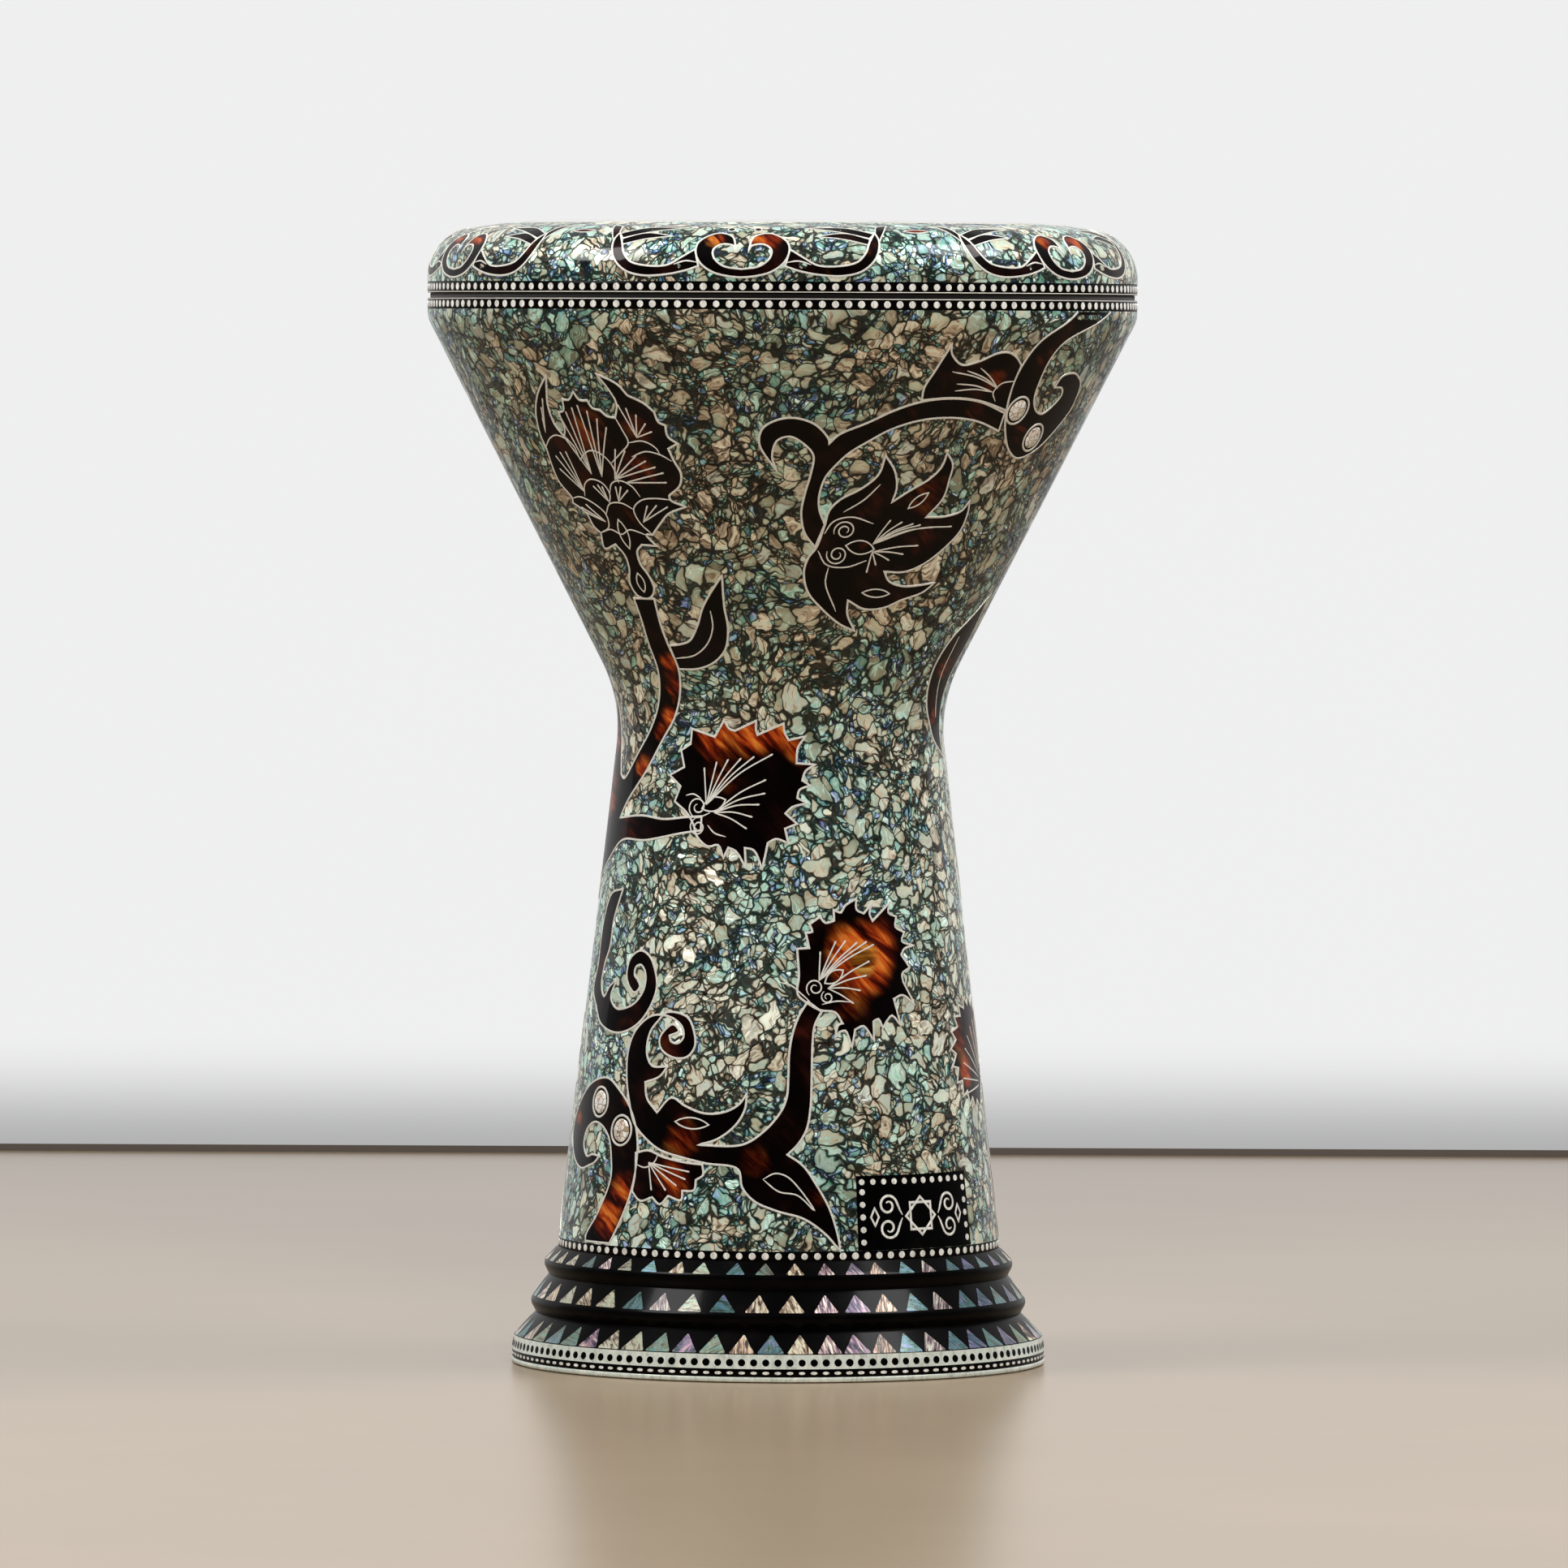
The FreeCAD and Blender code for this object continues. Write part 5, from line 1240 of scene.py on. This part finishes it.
def lay_ring_vines():
    plates, wires = Gathered(), Gathered()
    heart = HEART_OUTER + HEART_INNER + mirrored(HEART_INNER)[1:] + mirrored(HEART_OUTER)[:-1]
    for number in range(HEARTS):
        drawing = Drawing(CROWN_SKIN, 438, HEART_MIDDLE + number * 360 / HEARTS)
        red = [(-4.6, 442, 4.5, 0.95), (4.6, 442, 4.5, 0.95), (1.5, 442.4, 3, 0.8)]
        lay_vine(plates, wires, drawing, dict(outline=heart, glow=red), 0.95)
        for azimuth, height in HEART_LOBES:
            lobe = circle(drawing.flat(azimuth, height), 1.55, 10)
            lay_plate(plates, drawing, lobe)
            lay_wire(wires, drawing, lobe, 0.6, closed=True)
        for way in (lambda spots: spots, mirrored):
            glow = [(way([(20, 440)])[0][0], 440, 6, 0.5), (way([(14, 430)])[0][0], 430, 5, 0.3)]
            lay_vine(plates, wires, drawing, dict(outline=way(SCROLL), glow=glow), 0.95)
            for leaf in SCROLL_LEAVES:
                lay_vine(plates, wires, drawing, dict(outline=way(leaf)), 0.65)
            lay_wire(wires, drawing, drawing.line(way(SCROLL_NOTCH)), 0.8)
        eye = leaf_eye((27.6, 445.8), (32.4, 445.8), 2.6)(drawing)
        lay_plate(plates, drawing, eye, 0.6)
        lay_wire(wires, drawing, eye, 0.6, closed=True)
    finish_piece(plates.piece("ring_vine_plates", TORTOISESHELL, mark="glow"), "ring", "abalone_mosaic")
    finish_piece(wires.piece("ring_vine_wires", TIN), "ring", "abalone_mosaic")


# ---------------------------------------------------------------- rows of dots, by geometry nodes

FLOATS = "Start Pitch Radius Height Tilt Width Tallness Thickness Unevenness"
ROW_INPUTS = {
    "Count": "NodeSocketInt",
    **dict.fromkeys(FLOATS.split(), "NodeSocketFloat"),
    "Seed": "NodeSocketInt",
    "Material": "NodeSocketMaterial",
}


def dot_row_tree():
    """A row of discs wrapped round the axis. Angles are in degrees and lengths in millimetres."""
    tree = bpy.data.node_groups.new("row_of_dots", "GeometryNodeTree")
    tree.interface.new_socket("Geometry", in_out="INPUT", socket_type="NodeSocketGeometry")
    for name, kind in ROW_INPUTS.items():
        tree.interface.new_socket(name, in_out="INPUT", socket_type=kind)
    tree.interface.new_socket("Geometry", in_out="OUTPUT", socket_type="NodeSocketGeometry")
    nodes = Nodes(tree)
    maths = nodes.maths
    given = nodes.add("NodeGroupInput").outputs
    number = nodes.add("GeometryNodeInputIndex").outputs[0]
    azimuth = maths("RADIANS", maths("MULTIPLY_ADD", number, given["Pitch"], given["Start"]))
    radius = maths("MULTIPLY", given["Radius"], MM)
    height = maths("MULTIPLY", given["Height"], MM)
    across = maths("MULTIPLY", radius, maths("SINE", azimuth))
    deep = maths("MULTIPLY", maths("MULTIPLY", radius, maths("COSINE", azimuth)), -1.0)
    place = nodes.add("ShaderNodeCombineXYZ", {0: across, 1: deep, 2: height}).outputs[0]
    points = nodes.add("GeometryNodePoints", {"Count": given["Count"], "Position": place}).outputs[0]
    lean = maths("SUBTRACT", math.pi / 2, maths("RADIANS", given["Tilt"]))
    facing = nodes.add("ShaderNodeCombineXYZ", {0: lean, 1: 0.0, 2: azimuth}).outputs[0]
    disc = nodes.add(
        "GeometryNodeMeshCone",
        {"Vertices": 14, "Radius Top": 0.43 * MM, "Radius Bottom": 0.5 * MM, "Depth": 1.0 * MM},
    ).outputs["Mesh"]
    sunk = nodes.add("GeometryNodeTransform", {"Geometry": disc, "Translation": (0, 0, -1.0 * MM)}).outputs[0]
    least = maths("SUBTRACT", 1.0, given["Unevenness"])
    most = maths("ADD", 1.0, given["Unevenness"])
    uneven = nodes.add("FunctionNodeRandomValue", {2: least, 3: most, "Seed": given["Seed"]},
        data_type="FLOAT"
    ).outputs[1]
    size = nodes.add(
        "ShaderNodeCombineXYZ",
        {0: maths("MULTIPLY", given["Width"], uneven), 1: maths("MULTIPLY", given["Tallness"], uneven),
         2: given["Thickness"]},
    ).outputs[0]
    row = nodes.add(
        "GeometryNodeInstanceOnPoints",
        {"Points": points, "Instance": sunk, "Rotation": facing, "Scale": size},
    ).outputs[0]
    row = nodes.add("GeometryNodeRealizeInstances", {0: row}).outputs[0]
    row = nodes.add("GeometryNodeSetMaterial", {"Geometry": row, "Material": given["Material"]}).outputs[0]
    both = nodes.add("GeometryNodeJoinGeometry", {0: given["Geometry"]})
    tree.links.new(row, both.inputs[0])
    nodes.add("NodeGroupOutput", {0: both.outputs[0]})
    return tree


DOT_ROW = dot_row_tree()
SOCKETS = {item.name: item.identifier for item in DOT_ROW.interface.items_tree if item.in_out == "INPUT"}


def dots(name, material, *rows):
    """One piece made of rows of dots, each row a dict of the tree's inputs."""
    carrier = placed(name, bpy.data.meshes.new(name))
    for seed, row in enumerate(rows, start=1):
        modifier = carrier.modifiers.new(f"row_{seed}", "NODES")
        modifier.node_group = DOT_ROW
        defaults = dict(Start=0.0, Tilt=0.0, Thickness=0.4, Unevenness=0.05, Seed=seed)
        for key, given in {**defaults, **row, "Material": material}.items():
            modifier[SOCKETS[key]] = given
    bpy.context.view_layer.update()
    evaluated = carrier.evaluated_get(bpy.context.evaluated_depsgraph_get())
    mesh = bpy.data.meshes.new_from_object(evaluated)
    bpy.data.objects.remove(carrier)
    mesh.name = name
    return new_piece(name, mesh, material, smooth=25)


def full_row(radius, height, spacing, width, tallness=None, **others):
    """A row all the way round, with its dots as near to this spacing as goes into the turn."""
    count = round(2 * math.pi * radius / spacing)
    sizes = dict(Count=count, Pitch=360 / count, Radius=radius, Height=height, Width=width)
    return dict(sizes, Tallness=tallness or width, **others)


# ---------------------------------------------------------------- skins, strips, head and works

INSET = 0.08  # how far the strips' lacquer lies under their dots
STRIP_PITCH, FOOT_PITCH = 5.1, 4.7  # how far apart the dots are


def make_skins():
    shell = skinned("shell_mosaic_skin", SHELL_LINE, ABALONE, 2.4)
    finish_piece(shell, "shell", "abalone_mosaic", "shell_mosaic")
    crown = skinned("ring_mosaic_skin", CROWN_LINE, ABALONE, 0.9)
    finish_piece(crown, "ring", "abalone_mosaic", "ring_mosaic")
    foot = skinned("foot_lacquer_skin", FOOT_LINE, LACQUER, 0.5)
    finish_piece(foot, "shell", "black_lacquer", "foot_lacquer")


def make_strips():
    for name, body, radius, (bottom, top), node in (
        ("shell_strip", "shell", RIM, SHELL_STRIP, "shell_dot_strip"),
        ("ring_strip", "ring", RIM, RING_STRIP, "ring_dot_strip"),
        ("foot_strip", "shell", SKIRT, FOOT_STRIP, "foot_dot_strip"),
        ("foot_edge", "shell", FOOT, EDGE_STRIP, "foot_edge_strip"),
    ):
        strip = hoop(name, radius - SKIN, radius - INSET, bottom, top, LACQUER)
        finish_piece(strip, body, "dotted_strip", node)
    seam_lines = [
        ("shell_seam_line", "shell", RIM, SHELL_STRIP[1] - 0.5, SHELL_STRIP[1] - 0.15),
        ("ring_seam_line", "ring", RIM, RING_STRIP[0] + 0.15, RING_STRIP[0] + 0.5),
    ]
    for name, body, radius, bottom, top in seam_lines:
        finish_piece(hoop(name, radius - 1, radius, bottom, top, TIN, edge=0.08), body, "dotted_strip")
    gasket = hoop("seam_gasket", RIM - 11, RIM - 1.1, SHELL_STRIP[1], RING_STRIP[0] - 0.1, GASKET)
    finish_piece(gasket, "shell", "black_lacquer")
    for name, body, radius, height, width in (
        ("shell_strip_dots", "shell", RIM, sum(SHELL_STRIP) / 2 - 0.15, 3.1),
        ("ring_strip_dots", "ring", RIM, sum(RING_STRIP) / 2 + 0.15, 3.1),
        ("foot_strip_dots", "shell", SKIRT + 0.06, sum(FOOT_STRIP) / 2, 3.0),
    ):
        row = dots(name, DOTS, full_row(radius, height, STRIP_PITCH, width))
        finish_piece(row, body, "dotted_strip")

    band_line = [(FOOT, BAND[0]), (STEP, BAND[1]), (STEP - SKIN, BAND[1]), (FOOT - SKIN, BAND[0])]
    band = turn("foot_pearl_band_skin", band_line, PEARL, outside=1)
    finish_piece(band, "shell", "pearl_strip", "foot_pearl_band")
    edge = hoop("foot_pearl_edge_skin", FOOT - SKIN, FOOT, *PEARL_EDGE, PEARL)
    finish_piece(edge, "shell", "pearl_strip", "foot_pearl_edge")
    band_row = full_row(FOOT - 0.32, BAND[0] + 2.4, FOOT_PITCH, 3.3, Tilt=9.3, Thickness=0.4)
    finish_piece(dots("foot_band_dots", LACQUER, band_row), "shell", "black_lacquer")
    ovals = dots("foot_edge_dots", DOTS, full_row(FOOT, sum(EDGE_STRIP) / 2, FOOT_PITCH, 3.0, 1.35))
    finish_piece(ovals, "shell", "dotted_strip")


def make_head():
    out, low = 107.3, 441.0
    loop = rounded([(0, HEAD_TOP - 0.25, 0), (out - 0.25, HEAD_TOP - 0.25, 4.0), (out - 0.25, low, 0)], 4)
    back = rounded([(out, low, 0), (out, HEAD_TOP, 4.25), (0, HEAD_TOP, 0)], 4)
    film = turn("head_film_skin", np.vstack([loop, back]), FILM, segments=180)
    finish_piece(film, "shell", "polyester_film", "head_film")
    hoop_copy = smooth_copy("head_hoop", "head_hoop_spun", SPUN)
    finish_piece(hoop_copy, "shell", "hoop_aluminium", "head_hoop")
    coat(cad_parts["hoop_resin"].data, RESIN)


def make_works():
    casting = smooth_copy("shell_casting", "shell_casting_sand_cast", CASTING)
    finish_piece(casting, "shell", "cast_aluminium", "shell_casting")
    ring = smooth_copy("tuning_ring", "tuning_ring_cast", CASTING)
    finish_piece(ring, "ring", "cast_aluminium", "tuning_ring")
    for name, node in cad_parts.items():
        if name.startswith("tuning_screw") or name == "screw_washers":
            coat(node.data, STEEL)


# ---------------------------------------------------------------- pearl pieces


def islands(node):
    """The points of each separate solid of a CAD node."""
    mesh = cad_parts[node].data
    keys = [tuple(np.round(np.array(v.co) * 1e5).astype(int)) for v in mesh.vertices]
    root = {key: key for key in keys}

    def top(key):
        while root[key] != key:
            root[key] = root[root[key]]
            key = root[key]
        return key

    for polygon in mesh.polygons:
        first = top(keys[polygon.vertices[0]])
        for index in polygon.vertices[1:]:
            root[top(keys[index])] = first
    groups = {}
    for key, vertex in zip(keys, mesh.vertices):
        groups.setdefault(top(key), []).append(np.array(vertex.co) / MM)
    return [np.array(group) for group in groups.values()]


WEAR = 0.06  # how much of each side of a triangle is worn off at its corners


def make_triangles():
    """Shell triangles over the CAD's, each face with its corners a little worn."""
    for row in ("upper", "middle", "lower"):
        gathered = Gathered()
        for number, points in enumerate(islands(f"foot_triangles_{row}")):
            azimuths = np.degrees(np.arctan2(points[:, 0], -points[:, 1]))
            azimuths = (azimuths - azimuths[0] + 180) % 360 - 180 + azimuths[0]
            low, high = points[:, 2].min(), points[:, 2].max()
            base = azimuths[points[:, 2] < low + 0.3]
            apex = azimuths[points[:, 2] > high - 0.3].mean()
            middle = (base.min() + base.max()) / 2
            drawing = Drawing(FOOT_SKIN, low, middle)
            corners = [(base.min() - middle, low), (base.max() - middle, low), (apex - middle, high)]
            flat = np.array([drawing.flat(*corner) for corner in corners])
            outline = []
            for k in range(3):
                here, after, before = flat[k], flat[(k + 1) % 3], flat[k - 1]
                outline += [here + (before - here) * WEAR, here + (after - here) * WEAR]
            outline = smoothed(outline, [True] * 6, True, 2.2)
            lay_plate(gathered, drawing, outline, number + 1.0, proud=0.1, spacing=3.0)
        piece = gathered.piece(f"foot_triangles_{row}_sawn", SHELL_PIECES, mark="piece")
        finish_piece(piece, "shell", "pearl_shell", f"foot_triangles_{row}")


def disc(drawing, centre, width, rise, rings=7, sides=28):
    """A domed disc's points and faces, from its crown down to its rim, sunk a little in the skin."""
    angles = np.arange(sides) * 2 * math.pi / sides
    flat, lifts = [centre], [0.2 + rise]
    for k in range(1, rings + 1):
        part = k / rings
        flat += [centre + width * part * np.array([math.cos(a), math.sin(a)]) for a in angles]
        lifts += [0.2 + rise * (1 - part**2) if k < rings else -0.2] * sides
    points, _ = drawing.wrap(np.array(flat), np.array(lifts))
    faces = [(0, 1 + i, 1 + (i + 1) % sides) for i in range(sides)]
    for k in range(rings - 1):
        start, after = 1 + k * sides, 1 + (k + 1) * sides
        faces += [
            (start + i, after + i, after + (i + 1) % sides, start + (i + 1) % sides) for i in range(sides)
        ]
    faces.append(tuple(1 + (rings - 1) * sides + i for i in reversed(range(sides))))
    return points, faces


def make_cabochons():
    """Domed shell discs over the CAD's, each in a dark groove and a tin collar."""
    domes, grooves, collars = Gathered(), Gathered(), Gathered()
    for points in islands("pearl_cabochons"):
        middle = (points.min(axis=0) + points.max(axis=0)) / 2
        azimuth = math.degrees(math.atan2(middle[0], -middle[1]))
        drawing = Drawing(SHELL_SKIN, middle[2], azimuth)
        centre = drawing.flat(0, middle[2])
        domes.add(*disc(drawing, centre, 4.9, 0.75))
        grooves.add(*disc(drawing, centre, 5.6, 0.0, rings=2))
        lay_wire(collars, drawing, circle(centre, 5.9, 28), 1.1, closed=True, proud=0.4)
    finish_piece(domes.piece("pearl_cabochons_domed", CABOCHON, smooth=70), "shell", "pearl_shell",
        "pearl_cabochons")
    finish_piece(grooves.piece("cabochon_grooves", LACQUER), "shell", "black_lacquer")
    finish_piece(collars.piece("cabochon_collars", TIN), "shell", "abalone_mosaic")


def make_panel():
    """The black panel on the skirt: a lacquered plate with a border of dots, and scrolls beside a star."""
    plate, ornament = Gathered(), Gathered()
    middle = PANEL_START + PANEL_SPAN / 2
    drawing = Drawing(SHELL_SKIN, sum(PANEL) / 2, middle)
    half = PANEL_SPAN / 2
    low, high = PANEL[0] + 0.1, PANEL[1]
    outline = drawing.line([(-half, low, 1), (half, low, 1), (half, high, 1), (-half, high, 1)], closed=True)
    lay_plate(plate, drawing, outline, proud=0.14)
    stroke, proud = 1.25, 0.34
    centre = drawing.flat(0, sum(PANEL) / 2 - 1.6)
    for tip in range(2):
        angles = math.pi / 4 * tip + np.arange(4) * math.pi / 2
        square = [centre + 7.4 * np.array([math.cos(a), math.sin(a)]) for a in angles]
        lay_wire(ornament, drawing, smoothed(square, [True] * 4, True, 1.5), stroke, closed=True, proud=proud)
    for way in (-1, 1):
        for up in (-1, 1):
            parts = np.linspace(0, 1, 26)
            curl = 4.3 * (1 - 0.72 * parts)
            angle = math.radians(170) - parts * math.radians(480)
            line = np.stack([15.6 + curl * np.cos(angle), 4.4 + curl * np.sin(angle)], axis=1)
            line = np.vstack([[(9.2, 0.6), (10.2, 2.4)], line]) * (way, up)
            lay_wire(ornament, drawing, centre + line, stroke, proud=proud)
        diamond = [centre + np.array([way * (21.6 + 1.7 * math.cos(a)), 3.4 * math.sin(a)])
                   for a in np.arange(4) * math.pi / 2]
        lay_wire(ornament, drawing, smoothed(diamond, [True] * 4, True, 1.2), 1.0, closed=True, proud=proud)
    finish_piece(plate.piece("skirt_panel_plate", LACQUER), "shell", "black_lacquer", "skirt_panel")
    finish_piece(ornament.piece("skirt_panel_ornament", DOTS), "shell", "dotted_strip")

    def row(height, start, step, count):
        sizes = dict(Radius=SHELL_SKIN.radius(height) + 0.26, Height=height, Width=2.7, Tallness=2.7,
            Tilt=6.6)
        return dict(Count=count, Start=start, Pitch=step, **sizes)

    edge = 1.6
    top_row = row(PANEL[1] - 2.4, PANEL_START + edge, (PANEL_SPAN - 2 * edge) / 11, 12)
    sides = [
        row(height, azimuth, 0.0, 1)
        for height in np.linspace(PANEL[0] + 3.2, PANEL[1] - 6.3, 5)
        for azimuth in (PANEL_START + edge, PANEL_START + PANEL_SPAN - edge)
    ]
    finish_piece(dots("skirt_panel_dots", DOTS, top_row, *sides), "shell", "dotted_strip")


# ---------------------------------------------------------------- room, light and camera


def room_finish(name, code, roughness, spread=0.04, glow=0.0, shaded=None):
    """Plain paint or matt board, a little uneven; given shaded heights, painted shade darkens it, and its
    glow, below them.
    """
    nodes = Finish(
        name, roughness=roughness, specular_ior_level=0.3, emission_strength=glow,
            emission_color=colour("ffffff")
    )
    cloud = nodes.noise(nodes.millimetres(), 0.004, 3.0)
    light = nodes.ranged(cloud, 0.3, 0.7, 1 - spread, 1 + spread)
    if shaded:
        # Painted shade: darker towards the bottom, in colour and in glow.
        shade = nodes.ranged(nodes.height(nodes.millimetres()), *shaded, 0.5, 1.0, "SMOOTHERSTEP")
        light = nodes.maths("MULTIPLY", light, shade)
        nodes.tree.links.new(nodes.maths("MULTIPLY", shade, glow), nodes.shader.inputs["Emission Strength"])
    return nodes.done(nodes.vector("SCALE", colour(code)[:3], Scale=light))


def plane(name, corners, material):
    mesh = bpy.data.meshes.new(name)
    mesh.from_pydata(corners, [], [tuple(range(len(corners)))])
    piece = new_piece(name, mesh, material)
    return piece


def make_room():
    """A floor that ends a step behind the drum, and a white wall far beyond it that reaches below it."""
    floor = room_finish("floor_pale_matt", "97846c", 0.26)
    # The wall glows as an even backdrop; painted shade darkens it towards the bottom.
    wall = room_finish("wall_painted_white", "dcddde", 0.9, 0.01, glow=0.76, shaded=(-450.0, -300.0))
    # The floor's back edge is a dark strip: a painted shadow along the join of floor and wall.
    gap = room_finish("floor_edge_painted_shadow", "5e564e", 0.9)
    edge, far = 1.275, 8.0
    plane("floor", [(-6, -7, 0), (6, -7, 0), (6, edge, 0), (-6, edge, 0)], floor)
    plane("floor_edge", [(-6, edge, -0.5), (6, edge, -0.5), (6, edge, 0.0035), (-6, edge, 0.0035)], gap)
    plane("wall", [(-12, far, -4), (12, far, -4), (12, far, 9), (-12, far, 9)], wall)


def soft_box(name, azimuth, elevation, distance, width, height, power):
    """An area light that looks at the drum's middle."""
    light = bpy.data.lights.new(name, "AREA")
    light.shape, light.size, light.size_y, light.energy = "ELLIPSE", width, height, power
    lamp = placed(name, light)
    turned, raised = math.radians(azimuth), math.radians(elevation)
    middle = Vector((0, 0, 0.25))
    arm = Vector((math.sin(turned) * math.cos(raised), -math.cos(turned) * math.cos(raised),
        math.sin(raised)))
    lamp.location = middle + arm * distance
    lamp.rotation_mode = "QUATERNION"
    lamp.rotation_quaternion = arm.to_track_quat("Z", "Y")
    return lamp


def make_light():
    world = bpy.data.worlds.new("studio")
    world.use_nodes = True
    nodes = Nodes(world.node_tree)
    sky = nodes.add("ShaderNodeTexCoord").outputs["Generated"]
    way = nodes.add("ShaderNodeSeparateXYZ", {0: sky}).outputs
    side = nodes.maths("MULTIPLY_ADD", way["Y"], 0.8, way["Z"])
    background = world.node_tree.nodes["Background"].inputs
    nodes.tree.links.new(nodes.ranged(side, -0.4, 1.1, 0.04, 0.4), background["Strength"])
    background["Color"].default_value = colour("f4f6f8")
    bpy.context.scene.world = world
    soft_box("soft_box_left", -70, 46, 1.7, 0.72, 0.72, 19)
    soft_box("soft_box_right", 80, 54, 1.7, 0.72, 0.72, 18)
    soft_box("fill_front", 8, 30, 3.2, 1.6, 1.2, 66).visible_glossy = False
    bpy.context.scene.view_settings.view_transform = "Standard"


def make_camera():
    """A long lens, five metres off, a little below the head, looking two degrees down."""
    lens = bpy.data.cameras.new("camera")
    lens.sensor_width, lens.lens = 36.0, 290.8
    lens.clip_start, lens.clip_end = 0.1, 30.0
    camera = placed("camera", lens)
    pitch, roll = math.radians(90 - 2.02), math.radians(0.245)
    aim = Matrix.Rotation(pitch, 4, "X") @ Matrix.Rotation(roll, 4, "Z")
    camera.matrix_world = Matrix.Translation((0.0014, -5.0, 0.405)) @ aim
    bpy.context.scene.camera = camera


make_skins()
make_strips()
make_head()
make_works()
lay_vines()
lay_ring_vines()
make_triangles()
make_cabochons()
make_panel()
make_room()
make_light()
make_camera()
